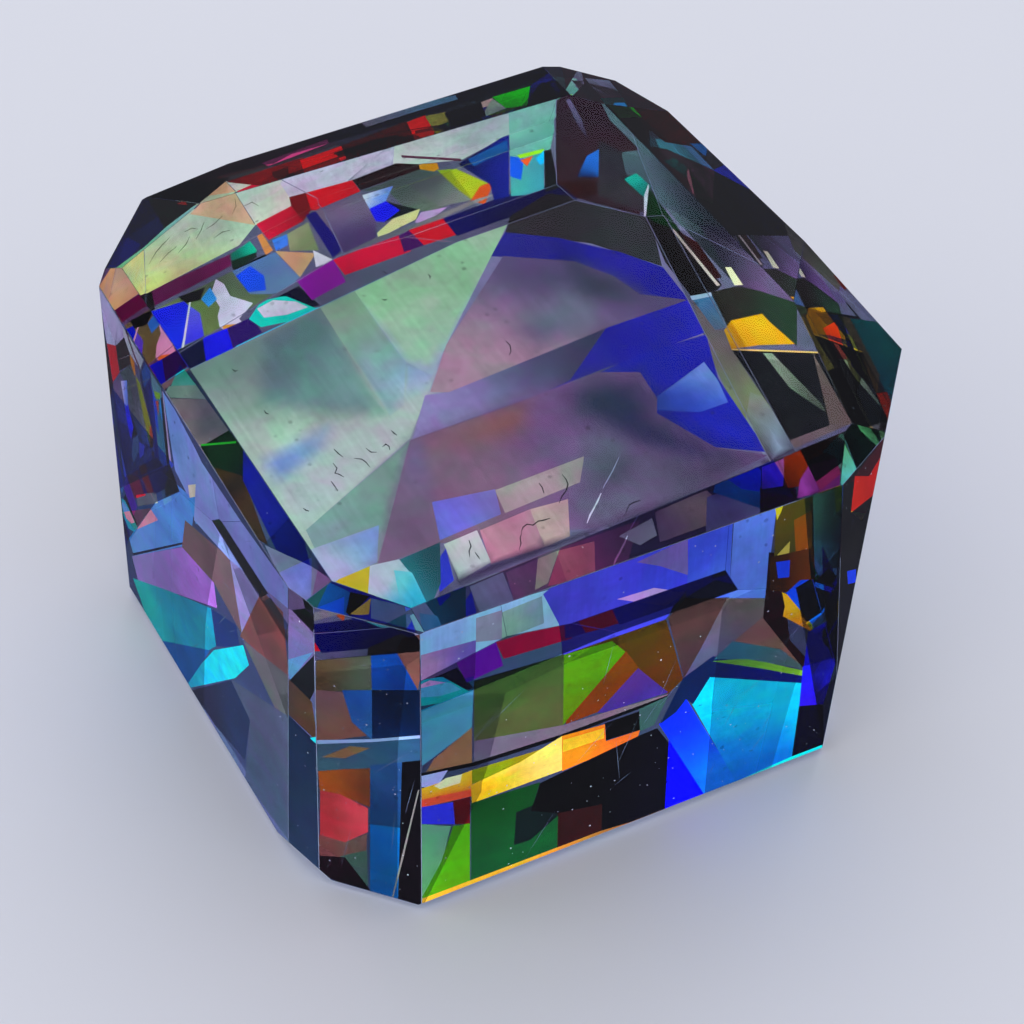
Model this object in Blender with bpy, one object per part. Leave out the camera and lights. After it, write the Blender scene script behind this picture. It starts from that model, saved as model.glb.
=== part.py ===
"""Mystic topaz gemstone, one solid.

A large hand-cut stone: a near-square block with cut corners, a broad flat
table, one shallow crown tier, tall near-vertical walls that draw in slightly
towards the base, a narrow step band round the back walls, and thin bevels
between the walls and the flat base.

Frame: metres, +Z up. The flat base lies on Z = 0 and the origin is the middle
of the base outline. The front wall faces -Y and the right wall faces +X.
"""
import math

import bmesh
import bpy
import numpy as np

MM = 0.001

# ---------------------------------------------------------------- dimensions
# Each facet is one flat cut, given as a cutter sets it:
#   (azimuth of the outward normal in degrees, 0 = +X and 90 = +Y,
#    elevation of the outward normal in degrees, 90 = straight up,
#    distance of the cut from the centre of the base, in millimetres)

ROUGH_BLOCK = 60.0          # side of the rough block the facets are cut from

TABLE = (-107.5, 88.0, 18.05)
BASE = (0.0, -90.0, 0.0)

CROWN_FRONT = (-89.5, 74.0, 20.60)
CROWN_FRONT_LEFT_CUT = (-139.0, 65.5, 23.15)
CROWN_LEFT = (-175.0, 69.5, 21.35)
CROWN_BACK_LEFT_CUT = (123.0, 75.0, 21.25)
CROWN_BACK = (91.5, 72.5, 20.80)
CROWN_BACK_RIGHT_CUT = (37.5, 68.0, 22.35)
CROWN_RIGHT = (-5.5, 76.5, 20.15)
CROWN_RIGHT_NEAR = (-19.0, 68.5, 21.15)
CROWN_FRONT_RIGHT_CUT = (-62.5, 62.5, 22.82)

# walls that run from the girdle down to the base bevels in one cut
WALL_FRONT = (-90.0, -3.0, 14.00)
WALL_FRONT_LEFT_CUT = (-137.0, -4.0, 17.15)
WALL_LEFT_NARROW = (-164.0, -3.0, 15.90)
WALL_LEFT = (179.0, -1.5, 13.85)
WALL_BACK_LEFT_CORNER = (140.5, -1.0, 15.85)
WALL_FRONT_RIGHT_CUT = (-61.5, 1.0, 16.85)
WALL_RIGHT_NEAR = (-40.5, -2.0, 15.80)

# walls cut in steps: upper wall, narrow band, lower wall
WALL_BACK_LEFT_UPPER = (103.5, -3.5, 13.95)
WALL_BACK_LEFT_BAND = (103.5, -6.5, 13.50)
WALL_BACK_LEFT_LOWER = (103.5, -8.0, 13.30)
WALL_BACK_UPPER = (92.0, 2.0, 14.87)
WALL_BACK_BAND = (92.0, -3.5, 14.09)
WALL_BACK_LOWER = (92.0, -6.5, 13.70)
WALL_BACK_RIGHT_UPPER = (44.0, 1.5, 18.54)
WALL_BACK_RIGHT_BAND = (44.5, -3.0, 17.90)
WALL_BACK_RIGHT_LOWER = (44.5, -5.5, 17.58)
WALL_RIGHT_UPPER = (4.5, 5.0, 15.20)
WALL_RIGHT_LOWER = (-10.0, -12.0, 12.05)

# thin bevels between the walls and the base
BEVEL_FRONT = (-90.0, -40.0, 10.45)
BEVEL_FRONT_LEFT_CUT = (-137.0, -40.0, 12.97)
BEVEL_LEFT_NARROW = (-165.5, -29.0, 13.40)
BEVEL_LEFT = (179.0, -40.0, 10.40)
BEVEL_BACK_LEFT_CUT = (99.5, -41.0, 9.30)
BEVEL_BACK = (92.0, -32.5, 11.10)
BEVEL_RIGHT = (-11.0, -54.5, 6.65)

FACETS = [
    TABLE, BASE,
    CROWN_FRONT, CROWN_FRONT_LEFT_CUT, CROWN_LEFT, CROWN_BACK_LEFT_CUT,
    CROWN_BACK, CROWN_BACK_RIGHT_CUT, CROWN_RIGHT, CROWN_RIGHT_NEAR,
    CROWN_FRONT_RIGHT_CUT,
    WALL_FRONT, WALL_FRONT_LEFT_CUT, WALL_LEFT_NARROW, WALL_LEFT,
    WALL_BACK_LEFT_CORNER, WALL_FRONT_RIGHT_CUT, WALL_RIGHT_NEAR,
    WALL_BACK_LEFT_UPPER, WALL_BACK_LEFT_BAND, WALL_BACK_LEFT_LOWER,
    WALL_BACK_UPPER, WALL_BACK_BAND, WALL_BACK_LOWER,
    WALL_BACK_RIGHT_UPPER, WALL_BACK_RIGHT_BAND, WALL_BACK_RIGHT_LOWER,
    WALL_RIGHT_UPPER, WALL_RIGHT_LOWER,
    BEVEL_FRONT, BEVEL_FRONT_LEFT_CUT, BEVEL_LEFT_NARROW, BEVEL_LEFT,
    BEVEL_BACK_LEFT_CUT, BEVEL_BACK, BEVEL_RIGHT,
]

# ---------------------------------------------------------------- material
TOPAZ_COLOUR = (0.62, 0.66, 0.78, 1.0)
TOPAZ_IOR = 1.61
TOPAZ_ROUGHNESS = 0.02


def cut_plane(azimuth, elevation, distance):
    """Outward unit normal and distance in metres of one cut."""
    a, e = math.radians(azimuth), math.radians(elevation)
    normal = np.array([math.cos(a) * math.cos(e),
                       math.sin(a) * math.cos(e),
                       math.sin(e)])
    return normal, distance * MM


def square_on(normal, distance, half):
    """A big square lying on a cut, counter-clockwise seen from outside."""
    helper = np.array([1.0, 0.0, 0.0]) if abs(normal[2]) > 0.9 else np.array([0.0, 0.0, 1.0])
    u = np.cross(helper, normal)
    u /= np.linalg.norm(u)
    v = np.cross(normal, u)
    centre = normal * distance
    return [centre + half * (su * u + sv * v)
            for su, sv in ((-1, -1), (1, -1), (1, 1), (-1, 1))]


def keep_inside(polygon, normal, distance):
    """The part of a polygon on the inner side of a cut."""
    kept = []
    for i, here in enumerate(polygon):
        there = polygon[(i + 1) % len(polygon)]
        h, t = normal @ here - distance, normal @ there - distance
        if h <= 0.0:
            kept.append(here)
        if (h < 0.0 < t) or (t < 0.0 < h):
            kept.append(here + (there - here) * (h / (h - t)))
    return kept


def facet_polygons(planes, half):
    """Every facet of the block left when all the cuts have been made."""
    found = []
    for i, (normal, distance) in enumerate(planes):
        polygon = square_on(normal, distance, half)
        for j, (other, limit) in enumerate(planes):
            if j != i and polygon:
                polygon = keep_inside(polygon, other, limit)
        if len(polygon) >= 3:
            found.append((i, polygon))
    return found


def weld(polygons, tolerance):
    """Shared corners and the faces that use them."""
    corners, faces = [], []
    for i, polygon in polygons:
        loop = []
        for point in polygon:
            for k, corner in enumerate(corners):
                if np.linalg.norm(corner - point) < tolerance:
                    break
            else:
                k = len(corners)
                corners.append(point)
            if not loop or (loop[-1] != k and loop[0] != k):
                loop.append(k)
        if len(loop) >= 3:
            faces.append((i, loop))
    return corners, faces


def build_stone():
    planes = [cut_plane(*facet) for facet in FACETS]
    polygons = facet_polygons(planes, ROUGH_BLOCK * MM)
    corners, faces = weld(polygons, 1e-6)
    corners = np.array(corners)
    middle = (corners.min(axis=0) + corners.max(axis=0)) / 2.0
    corners -= np.array([middle[0], middle[1], 0.0])

    mesh = bpy.data.meshes.new("gemstone")
    bm = bmesh.new()
    verts = [bm.verts.new(tuple(c)) for c in corners]
    for _, loop in faces:
        bm.faces.new([verts[k] for k in loop])
    bmesh.ops.recalc_face_normals(bm, faces=bm.faces[:])
    bm.to_mesh(mesh)
    bm.free()
    for polygon in mesh.polygons:
        polygon.use_smooth = False
    stone = bpy.data.objects.new("gemstone", mesh)
    bpy.context.scene.collection.objects.link(stone)
    return stone


def topaz_material():
    material = bpy.data.materials.new("topaz")
    material.use_nodes = True
    shader = next(n for n in material.node_tree.nodes if n.type == "BSDF_PRINCIPLED")
    shader.inputs["Base Color"].default_value = TOPAZ_COLOUR
    shader.inputs["Roughness"].default_value = TOPAZ_ROUGHNESS
    shader.inputs["IOR"].default_value = TOPAZ_IOR
    shader.inputs["Transmission Weight"].default_value = 1.0
    material.diffuse_color = TOPAZ_COLOUR
    return material


for old in list(bpy.data.objects):
    bpy.data.objects.remove(old, do_unlink=True)

bpy.context.scene.unit_settings.system = "METRIC"
bpy.context.scene.unit_settings.scale_length = 1.0

gemstone = build_stone()
gemstone.data.materials.append(topaz_material())
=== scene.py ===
import math

import bmesh
import bpy
import numpy as np
from mathutils import Matrix, Vector
from mathutils.geometry import delaunay_2d_cdt


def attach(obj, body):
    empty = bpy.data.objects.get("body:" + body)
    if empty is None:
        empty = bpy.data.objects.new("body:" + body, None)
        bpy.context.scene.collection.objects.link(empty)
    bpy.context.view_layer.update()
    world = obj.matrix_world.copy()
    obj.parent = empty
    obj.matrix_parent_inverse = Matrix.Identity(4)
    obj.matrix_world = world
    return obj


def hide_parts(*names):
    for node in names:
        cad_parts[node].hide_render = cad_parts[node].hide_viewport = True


MM = 0.001

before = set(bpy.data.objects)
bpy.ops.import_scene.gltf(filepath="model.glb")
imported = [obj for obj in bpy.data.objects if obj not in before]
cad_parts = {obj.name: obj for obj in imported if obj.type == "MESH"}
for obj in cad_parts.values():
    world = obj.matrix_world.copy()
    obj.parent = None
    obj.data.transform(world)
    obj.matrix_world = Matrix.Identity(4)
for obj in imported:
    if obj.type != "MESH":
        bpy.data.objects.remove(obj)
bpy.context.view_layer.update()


# ------------------------------------------------------------------ facets
def direction(azimuth, elevation):
    a, e = math.radians(azimuth), math.radians(elevation)
    return Vector((math.cos(a) * math.cos(e), math.sin(a) * math.cos(e), math.sin(e)))


# name -> (azimuth, elevation) of the outward normal, as the part is cut
FACETS = {
    "table": (-107.5, 88.0), "base": (0.0, -90.0),
    "crown_front": (-89.5, 74.0), "crown_front_left": (-139.0, 65.5),
    "crown_left": (-175.0, 69.5), "crown_back_left": (123.0, 75.0),
    "crown_back": (91.5, 72.5), "crown_back_right": (37.5, 68.0),
    "crown_right": (-5.5, 76.5), "crown_right_near": (-19.0, 68.5),
    "crown_front_right": (-62.5, 62.5),
    "wall_front": (-90.0, -3.0), "wall_front_left": (-137.0, -4.0),
    "wall_left_narrow": (-164.0, -3.0), "wall_left": (179.0, -1.5),
    "wall_back_left_corner": (140.5, -1.0), "wall_front_right": (-61.5, 1.0),
    "wall_right_near": (-40.5, -2.0),
    "back_left_upper": (103.5, -3.5), "back_left_band": (103.5, -6.5),
    "back_left_lower": (103.5, -8.0),
    "back_upper": (92.0, 2.0), "back_band": (92.0, -3.5), "back_lower": (92.0, -6.5),
    "back_right_upper": (44.0, 1.5), "back_right_band": (44.5, -3.0),
    "back_right_lower": (44.5, -5.5),
    "right_upper": (4.5, 5.0), "right_lower": (-10.0, -12.0),
    "bevel_front": (-90.0, -40.0), "bevel_front_left": (-137.0, -40.0),
    "bevel_left_narrow": (-165.5, -29.0), "bevel_left": (179.0, -40.0),
    "bevel_back_left": (99.5, -41.0), "bevel_back": (92.0, -32.5),
    "bevel_right": (-11.0, -54.5),
}

# The painted light on the stone, worked out facet by facet: reflections, refractions, caustic glows
# and shadows painted as patches, in the coating's own tints; only the table's hairs and cracks are real
# marks. Each row is a patch: its name, the side of the facet it colours ("out" is what passes in through
# the facet, "in" is what the stone sees of its own back), its outline in millimetres across the facet, its
# colour, and, if it shades off, a second colour with the two points that the shading runs between.
# Later rows lie over earlier.
PAINTED_LIGHT_AND_MARKS = {
    "back_left_upper": [
        ("cream_left", "in", ((9.87, 11.6), (4.61, 14.43), (1.32, 9.47), (2.84, 7.67), (1.4, 8.27), (1.76, 7.88), (8.23, 8.27)), (215, 245, 195), (255, 255, 145), (4.2, 12.2), (7.8, 9)),
        ("cream_glow", "in", ((8.66, 11.73), (7.32, 10.38), (7.21, 8.38), (8.29, 8.23)), (255, 255, 130), (230, 250, 170), (8, 8.9), (7.6, 10.6)),
        ("tan", "in", ((4.66, 13.84), (2.58, 15.63), (2.42, 14.73), (1.38, 9.43)), (255, 215, 155)),
        ("cream_right", "in", ((2.58, 15.63), (-0.46, 12.89), (-0.65, 10.43), (-0.64, 9.46), (1.33, 9.37)), (240, 255, 225), (255, 255, 215), (1.9, 13.7), (-0.4, 10.4)),
        ("white_band", "in", ((-0.2, 12.38), (-1.41, 13.7), (-7.03, 11), (-3.71, 8.95), (-0.64, 10.33)), (255, 255, 255), (240, 240, 235), (-3, 11.6), (-1.2, 10.1)),
        ("crimson_a", "in", ((1.32, 9.47), (-0.67, 9.47), (-1.2, 7.3), (0.76, 7.2)), (255, 10, 60), (220, 5, 40), (1, 8.8), (-1, 8.5)),
        ("maroon_b", "in", ((-0.59, 10.49), (-1.52, 10.07), (-1.69, 7.99), (-1.19, 7.26), (-0.67, 9.44)), (140, 0, 5)),
        ("red_c", "in", ((-1.52, 10.07), (-4.11, 8.88), (-4.52, 7.28), (-1.95, 7.74), (-1.69, 7.99)), (255, 10, 30)),
    ],
    "wall_back_left_corner": [
        ("cream_left", "in", ((3.17, 18.46), (-9.63, 6.03), (-19.26, -11.57), (-14.96, -8.24), (-19.12, -12.79), (-18.07, -11.92), (-0.8, 10.05)), (215, 245, 195), (255, 255, 145), (-10.8, 2.1), (-1.8, 9.6)),
        ("cream_glow", "in", ((0.36, 15.21), (-2.9, 9.77), (-3.29, 7.1), (-0.67, 10.16)), (255, 255, 130), (230, 250, 170), (-1.4, 10), (-2.3, 10.8)),
        ("purple_strip", "in", ((-0.95, 10.02), (-14.82, -7.89), (-14.94, -9.87), (-2.73, 5.36)), (125, 10, 80), (105, 5, 70), (-14, -7.2), (-3.1, 5.7)),
        ("strip_end", "in", ((-0.81, 10.13), (-3.53, 6.59), (-3.68, 4.31), (-2.71, 5.27)), (0, 0, 0)),
    ],
    "back_upper": [
        ("cream_right", "in", ((5.34, 13.67), (2.51, 11.61), (2.19, 8.77), (2.13, 7.61), (3.86, 6.71)), (240, 255, 225), (255, 255, 215), (4.7, 11.7), (2.4, 8.6)),
        ("white_band", "in", ((2.7, 10.91), (1.73, 12.95), (-3.29, 12.01), (-0.57, 8.24), (2.19, 8.64)), (255, 255, 255), (240, 240, 235), (0.2, 11.1), (1.7, 8.6)),
        ("white_band_mid", "in", ((-0.18, 10.78), (-3.3, 11.38), (-3.59, 9.89), (-3, 8.49), (-0.82, 8.28)), (255, 255, 250), (225, 230, 230), (-0.8, 9.7), (-3.3, 10.1)),
        ("grey_band", "in", ((-3.04, 11.58), (-9.07, 11.81), (-9.17, 7.41), (-6.57, 6.22), (-4.2, 7.65), (-3, 8.49)), (235, 255, 220), (190, 215, 195), (-3.3, 9.5), (-8.5, 9.7)),
        ("mauve_streak", "in", ((-3.39, 9.43), (-6.57, 6.42), (-6.58, 6.09), (-3.45, 9.07)), (110, 55, 75)),
        ("red_c", "in", ((1.41, 8.68), (-0.92, 8.32), (-1.38, 6.58), (0.88, 6.09), (1.12, 6.29)), (255, 10, 30)),
        ("brown_strip", "in", ((-0.92, 8.32), (-3.15, 8.62), (-4.36, 7.52), (-4.48, 6.79), (-1.4, 6.69)), (30, 5, 5), (40, 5, 5), (-1.3, 7.6), (-4.2, 7.4)),
        ("teal_column", "in", ((-8.86, 11.98), (-11.95, 11.07), (-11.57, 7.27), (-11.39, 3.58), (-11.05, 3.85), (-9.6, 4.14), (-9.23, 4.06)), (145, 220, 185), (105, 185, 160), (-9.6, 8.9), (-11.2, 5)),
    ],
    "back_band": [
        ("grey_band", "in", ((-3.24, 12.3), (-9.3, 12.49), (-9.17, 8.8), (-6.51, 7.81), (-4.21, 9), (-3.05, 9.71)), (235, 255, 220), (190, 215, 195), (-3.4, 10.5), (-8.6, 10.7)),
        ("mauve_streak", "in", ((-3.49, 10.49), (-6.52, 7.97), (-6.51, 7.7), (-3.53, 10.19)), (110, 55, 75)),
        ("red_c", "in", ((1.35, 9.87), (-0.96, 9.56), (-1.34, 8.11), (0.94, 7.69), (1.17, 7.86)), (255, 10, 30)),
        ("brown_strip", "in", ((-0.96, 9.56), (-3.21, 9.81), (-4.36, 8.89), (-4.45, 8.29), (-1.37, 8.19)), (30, 5, 5), (40, 5, 5), (-1.3, 9), (-4.2, 8.8)),
        ("orange_spot", "in", ((-4.34, 8.91), (-5.28, 8.35), (-5.36, 7.68), (-4.89, 7.49), (-4.4, 8.28)), (255, 170, 5)),
        ("teal_dark", "in", ((-1.37, 8.09), (-4.4, 8.32), (-5.25, 7.39), (-5.71, 3.46), (-4.77, 3.37), (-3.46, 4.75), (-2.72, 7.23)), (80, 105, 90), (120, 140, 115), (-3.3, 6.8), (-5.3, 3.8)),
        ("grey_facets", "in", ((-3.55, 7.51), (-5.4, 7.28), (-6.97, 3.1), (-5.3, 3.64)), (145, 165, 140), (85, 95, 95), (-6.9, 3.4), (-3.8, 7)),
        ("olive", "in", ((-5.26, 7.6), (-6.23, 7.06), (-7.95, 4.15), (-7.07, 2.87), (-6.3, 4.67)), (175, 200, 20)),
        ("blue_white", "in", ((-1.25, 7.63), (-2.98, 7.51), (-2.48, 5.89), (-1.68, 5.92)), (255, 255, 255), (125, 175, 250), (-1.4, 7.4), (-2.5, 6.8)),
        ("grey_violet", "in", ((0.98, 7.61), (-1.36, 7.88), (-1.99, 4.4), (-1.93, 2.67), (-0.29, 2.2), (0.1, 4.09)), (130, 115, 135), (85, 65, 110), (-0.7, 6.5), (0.1, 3.9)),
        ("navy_fan", "in", ((-6.35, 7.49), (-9.06, 8.99), (-8.91, 2.14), (-8.12, 2.27), (-7.95, 4.15)), (0, 10, 80), (5, 25, 130), (-6.9, 6.4), (-8.5, 6.4)),
        ("navy_rays", "in", ((-6.87, 7.66), (-8.94, 8.3), (-8.97, 7.17), (-7.16, 6.69)), (5, 95, 165)),
        ("teal_column", "in", ((-9.09, 12.63), (-12.15, 11.86), (-11.56, 8.68), (-11.18, 5.61), (-10.86, 5.83), (-9.42, 6.07), (-9.05, 6.01)), (145, 220, 185), (105, 185, 160), (-9.7, 10), (-11.1, 6.8)),
    ],
    "back_left_band": [
        ("purple_strip", "in", ((8.16, 9.12), (2.89, 8.57), (2.94, 7.12), (7.54, 7.05)), (125, 10, 80), (105, 5, 70), (3.2, 8.3), (7.4, 7.8)),
        ("strip_end", "in", ((8.22, 9.07), (7.12, 8.9), (7.15, 7.16), (7.55, 6.96)), (0, 0, 0)),
        ("green_top", "in", ((2.89, 8.57), (1.76, 8.81), (1.49, 7.65), (1.57, 7.42), (2.88, 7.66)), (0, 225, 155), (0, 120, 85), (1.7, 8.3), (2.7, 8)),
        ("green_low", "in", ((2.91, 7.89), (1.56, 7.51), (1.55, 7.01), (2.89, 7.07)), (5, 40, 20)),
        ("orange_sliver", "in", ((1.36, 9.04), (1.07, 8.97), (0.67, 6.88), (1.09, 6.77)), (255, 160, 75)),
        ("crimson_a", "in", ((1.28, 10.08), (-0.71, 10.08), (-1.16, 8.1), (0.8, 8.01)), (255, 10, 60), (220, 5, 40), (1, 9.4), (-1, 9.2)),
        ("maroon_b", "in", ((-0.67, 11.01), (-1.58, 10.62), (-1.69, 8.73), (-1.16, 8.06), (-0.71, 10.05)), (140, 0, 5)),
        ("red_c", "in", ((-1.58, 10.62), (-4.13, 9.54), (-4.49, 8.08), (-1.93, 8.5), (-1.69, 8.73)), (255, 10, 30)),
        ("grey_violet", "in", ((-1.89, 8.44), (-4.49, 7.87), (-5.03, 4.48), (-4.88, 2.92), (-3.03, 3.08), (-2.69, 4.93)), (130, 115, 135), (85, 65, 110), (-3.7, 6.8), (-2.7, 4.7)),
        ("indigo_gap", "in", ((-1.36, 8.52), (-1.92, 8.41), (-3.05, 3.57), (-2.4, 3.17)), (15, 5, 115)),
        ("window_blue", "in", ((0.62, 7.84), (-0.27, 7.67), (-0.16, 6.61), (0.52, 6.64)), (70, 150, 255)),
        ("window_green", "in", ((-0.21, 7.67), (-1.42, 7.76), (-1.73, 4.61), (-0.2, 5.95)), (170, 185, 125), (135, 160, 100), (-0.3, 7), (-1.5, 5.9)),
    ],
    "back_left_lower": [
        ("strip_end", "in", ((8.2, 9.36), (7.1, 9.2), (7.16, 7.53), (7.56, 7.33)), (0, 0, 0)),
        ("green_low", "in", ((2.91, 8.22), (1.56, 7.86), (1.56, 7.38), (2.9, 7.43)), (5, 40, 20)),
        ("orange_sliver", "in", ((1.34, 9.33), (1.04, 9.26), (0.68, 7.25), (1.1, 7.15)), (255, 160, 75)),
        ("dark_join", "in", ((2.88, 7.52), (1.07, 7.22), (1.01, 6.87), (2.87, 7.21)), (5, 5, 5)),
        ("grey_violet", "in", ((-1.9, 8.75), (-4.5, 8.2), (-4.98, 4.95), (-4.8, 3.46), (-2.96, 3.61), (-2.65, 5.39)), (130, 115, 135), (85, 65, 110), (-3.7, 7.2), (-2.6, 5.2)),
        ("indigo_gap", "in", ((-1.38, 8.83), (-1.94, 8.72), (-2.99, 4.08), (-2.33, 3.7)), (15, 5, 115)),
        ("window_blue", "in", ((0.62, 8.18), (-0.27, 8.01), (-0.14, 6.99), (0.53, 7.02)), (70, 150, 255)),
        ("window_green", "in", ((-0.21, 8.01), (-1.42, 8.1), (-1.68, 5.08), (-0.18, 6.37)), (170, 185, 125), (135, 160, 100), (-0.3, 7.3), (-1.4, 6.3)),
        ("window_tan", "in", ((0.58, 7.07), (-1.5, 4.96), (-0.41, 3.59)), (235, 190, 125)),
        ("window_white", "in", ((-1.37, 5.37), (-2.36, 3.47), (-1.34, 3.71)), (255, 255, 255)),
        ("steel", "in", ((2.97, 7.3), (0.6, 6.98), (-0.45, 3.46), (0.19, 2.96), (1.16, 3.38), (2.32, 4.47), (2.9, 6.08)), (95, 140, 180), (115, 155, 185), (2.3, 6.6), (0.1, 4.2)),
        ("blue_blob", "in", ((2.84, 6.7), (2.01, 6.94), (1.41, 5.41), (1.47, 4.06), (2.5, 4.83)), (10, 90, 255)),
        ("wlc_fill", "in", ((7.54, 7.5), (2.97, 7.3), (2.32, 4.47), (1.16, 3.38), (-0.22, 3.47), (6.57, 2.95)), (100, 125, 85), (135, 160, 80), (3.2, 6.2), (5.1, 4.5)),
        ("white_star", "in", ((3.86, 7.36), (3.51, 6.54), (3.34, 5.25), (2.27, 3.54), (3.15, 2.84), (2.88, 1.87), (4.06, 2.7), (4.37, 3.47), (3.97, 4.73), (4.25, 6.36)), (255, 255, 255)),
        ("deep_blue", "in", ((7.53, 7.58), (5.67, 6.9), (5.44, 6.11), (6.34, 3.02), (6.61, 3.08)), (5, 25, 245), (10, 50, 255), (7.2, 7), (6.1, 4.5)),
        ("violet_blue", "in", ((5.43, 6.2), (5.02, 5.14), (5.08, 2.98), (6.22, 3.1)), (105, 105, 255), (65, 60, 245), (5, 5), (5.8, 3.3)),
        ("pale_streak", "in", ((5.43, 6.59), (5.34, 6.5), (6.2, 2.88), (6.33, 2.91)), (255, 255, 245)),
        ("olive_grey", "in", ((4.95, 6.24), (4.15, 5.48), (4.21, 2.84), (5.08, 2.98), (5.02, 5.14)), (120, 150, 75)),
        ("azure", "in", ((4.81, 6.3), (4.24, 6.92), (4.02, 5.56), (4.53, 5.26)), (50, 180, 255)),
        ("knot", "in", ((5.91, 7.52), (4.48, 7.15), (4.87, 6.26), (5.59, 6.64)), (5, 5, 10)),
        ("strip_navy", "in", ((6.62, 2.99), (5.03, 2.93), (5.09, 0.78), (6.15, 0.73)), (0, 5, 55)),
        ("bevel_purple", "in", ((-0.17, 3.52), (-2.32, 3.61), (-2.76, 0.98), (-0.78, 0.99)), (165, 5, 170)),
    ],
    "back_lower": [
        ("teal_dark", "in", ((-1.39, 8.74), (-4.43, 8.95), (-5.26, 8.09), (-5.62, 4.47), (-4.68, 4.4), (-3.4, 5.66), (-2.72, 7.95)), (80, 105, 90), (120, 140, 115), (-3.3, 7.6), (-5.2, 4.7)),
        ("grey_facets", "in", ((-3.56, 8.2), (-5.41, 7.99), (-6.87, 4.14), (-5.21, 4.64)), (145, 165, 140), (85, 95, 95), (-6.8, 4.4), (-3.8, 7.7)),
        ("olive", "in", ((-5.27, 8.29), (-6.23, 7.79), (-7.87, 5.11), (-6.96, 3.94), (-6.24, 5.59)), (175, 200, 20)),
        ("rust", "in", ((-7.35, 5.25), (-8.09, 5.27), (-7.51, 3.3), (-6.76, 4.11)), (220, 85, 20)),
        ("blue_white", "in", ((-1.26, 8.32), (-2.99, 8.2), (-2.45, 6.71), (-1.65, 6.74)), (255, 255, 255), (125, 175, 250), (-1.4, 8.1), (-2.5, 7.6)),
        ("vivid_blue", "in", ((-1.65, 6.74), (-2.54, 6.95), (-3.19, 5.6), (-2.33, 4.97), (-1.94, 5.33)), (10, 15, 255)),
        ("dark_wedge", "in", ((-2.55, 6.94), (-3.42, 5.86), (-4.09, 5.09), (-2.8, 5.06), (-2.33, 4.97), (-3.19, 5.6)), (15, 25, 25)),
        ("cream_yellow", "in", ((-1.92, 4.14), (-2.79, 5), (-4.2, 5.07), (-3.94, 4.18), (-1.97, 3.6)), (255, 255, 160)),
        ("lilac", "in", ((-4.23, 4.7), (-5.56, 4.31), (-4.3, 3.33), (-3.87, 3.93)), (225, 185, 230)),
        ("grey_violet", "in", ((0.96, 8.3), (-1.38, 8.54), (-1.93, 5.34), (-1.83, 3.75), (-0.17, 3.31), (0.17, 5.05)), (130, 115, 135), (85, 65, 110), (-0.7, 7.3), (0.2, 4.9)),
        ("grey_low", "in", ((-1.83, 3.75), (-4.12, 3.76), (-6.76, 4.11), (-8.34, 3.97), (-5.25, 3.4), (-3.47, 3.29), (-0.22, 3.28)), (110, 120, 115), (150, 145, 140), (-2.1, 3.8), (-6.2, 4.1)),
        ("bevel_crimson", "in", ((0.4, 3.06), (-3, 3.2), (-3.5, 1.24), (-0.09, 1.17)), (255, 5, 60)),
        ("bevel_plum", "in", ((-2.97, 3.15), (-3.52, 3.35), (-4.21, 1.36), (-3.15, 1.38)), (80, 5, 100)),
        ("bevel_red", "in", ((-3.5, 3.36), (-5.35, 3.33), (-5.97, 1.28), (-4.19, 1.38)), (255, 10, 35)),
        ("bevel_navy", "in", ((-5.29, 3.31), (-9.38, 3.48), (-12.3, 2.55), (-12.32, 0.46), (-8.73, 1.14), (-5.91, 1.12)), (0, 0, 95), (5, 5, 70), (-5.6, 2.4), (-8.5, 2.5)),
        ("navy_fan", "in", ((-6.36, 8.18), (-9.11, 9.56), (-8.78, 3.26), (-7.99, 3.39), (-7.87, 5.11)), (0, 10, 80), (5, 25, 130), (-6.9, 7.2), (-8.5, 7.2)),
        ("navy_rays", "in", ((-6.89, 8.34), (-8.97, 8.92), (-8.97, 7.89), (-7.15, 7.44)), (5, 95, 165)),
        ("teal_column", "in", ((-9.24, 12.92), (-12.28, 12.2), (-11.6, 9.28), (-11.14, 6.45), (-10.83, 6.66), (-9.4, 6.88), (-9.02, 6.82)), (145, 220, 185), (105, 185, 160), (-9.7, 10.5), (-11.1, 7.5)),
        ("teal_low", "in", ((-9.03, 7.02), (-10.83, 6.66), (-10.61, 2.34), (-8.89, 3.19)), (55, 160, 165), (70, 180, 165), (-10.4, 3.3), (-9.1, 3.7)),
        ("column_blue", "in", ((-9.04, 7.22), (-9.75, 6.54), (-9.49, 4.44), (-8.94, 5.22)), (5, 100, 230)),
        ("column_lime", "in", ((-9.41, 7.08), (-10.84, 6.8), (-10.82, 6.46), (-9.54, 6.63)), (165, 255, 25)),
        ("column_orange", "in", ((-9.54, 6.48), (-10.23, 6.46), (-9.87, 5.63)), (255, 105, 30)),
        ("column_cyan", "in", ((-10.35, 6.08), (-10.83, 6.66), (-10.76, 5.35), (-10.55, 5.29)), (0, 205, 255)),
        ("column_dark", "in", ((-10.82, 6.56), (-11.2, 6.52), (-11.42, 2.31), (-10.67, 2.4)), (10, 15, 15)),
    ],
    "bevel_back_left": [
        ("white_star", "in", ((4.12, 12.19), (3.9, 11.72), (3.94, 10.94), (3.15, 9.98), (4.12, 9.5), (4.01, 8.93), (5.04, 9.34), (5.22, 9.79), (4.63, 10.58), (4.66, 11.56)), (255, 255, 255)),
        ("star_foot", "in", ((5.03, 9.6), (3.93, 9.09), (4.34, 8.79), (5.02, 9.27)), (255, 185, 50)),
        ("strip_navy", "in", ((7.51, 9.35), (5.95, 9.42), (6.34, 8.12), (7.38, 8.01)), (0, 5, 55)),
        ("strip_blue", "in", ((6.09, 9.37), (4.85, 9.3), (5.04, 8.07), (6.51, 8.09)), (10, 15, 255)),
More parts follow.
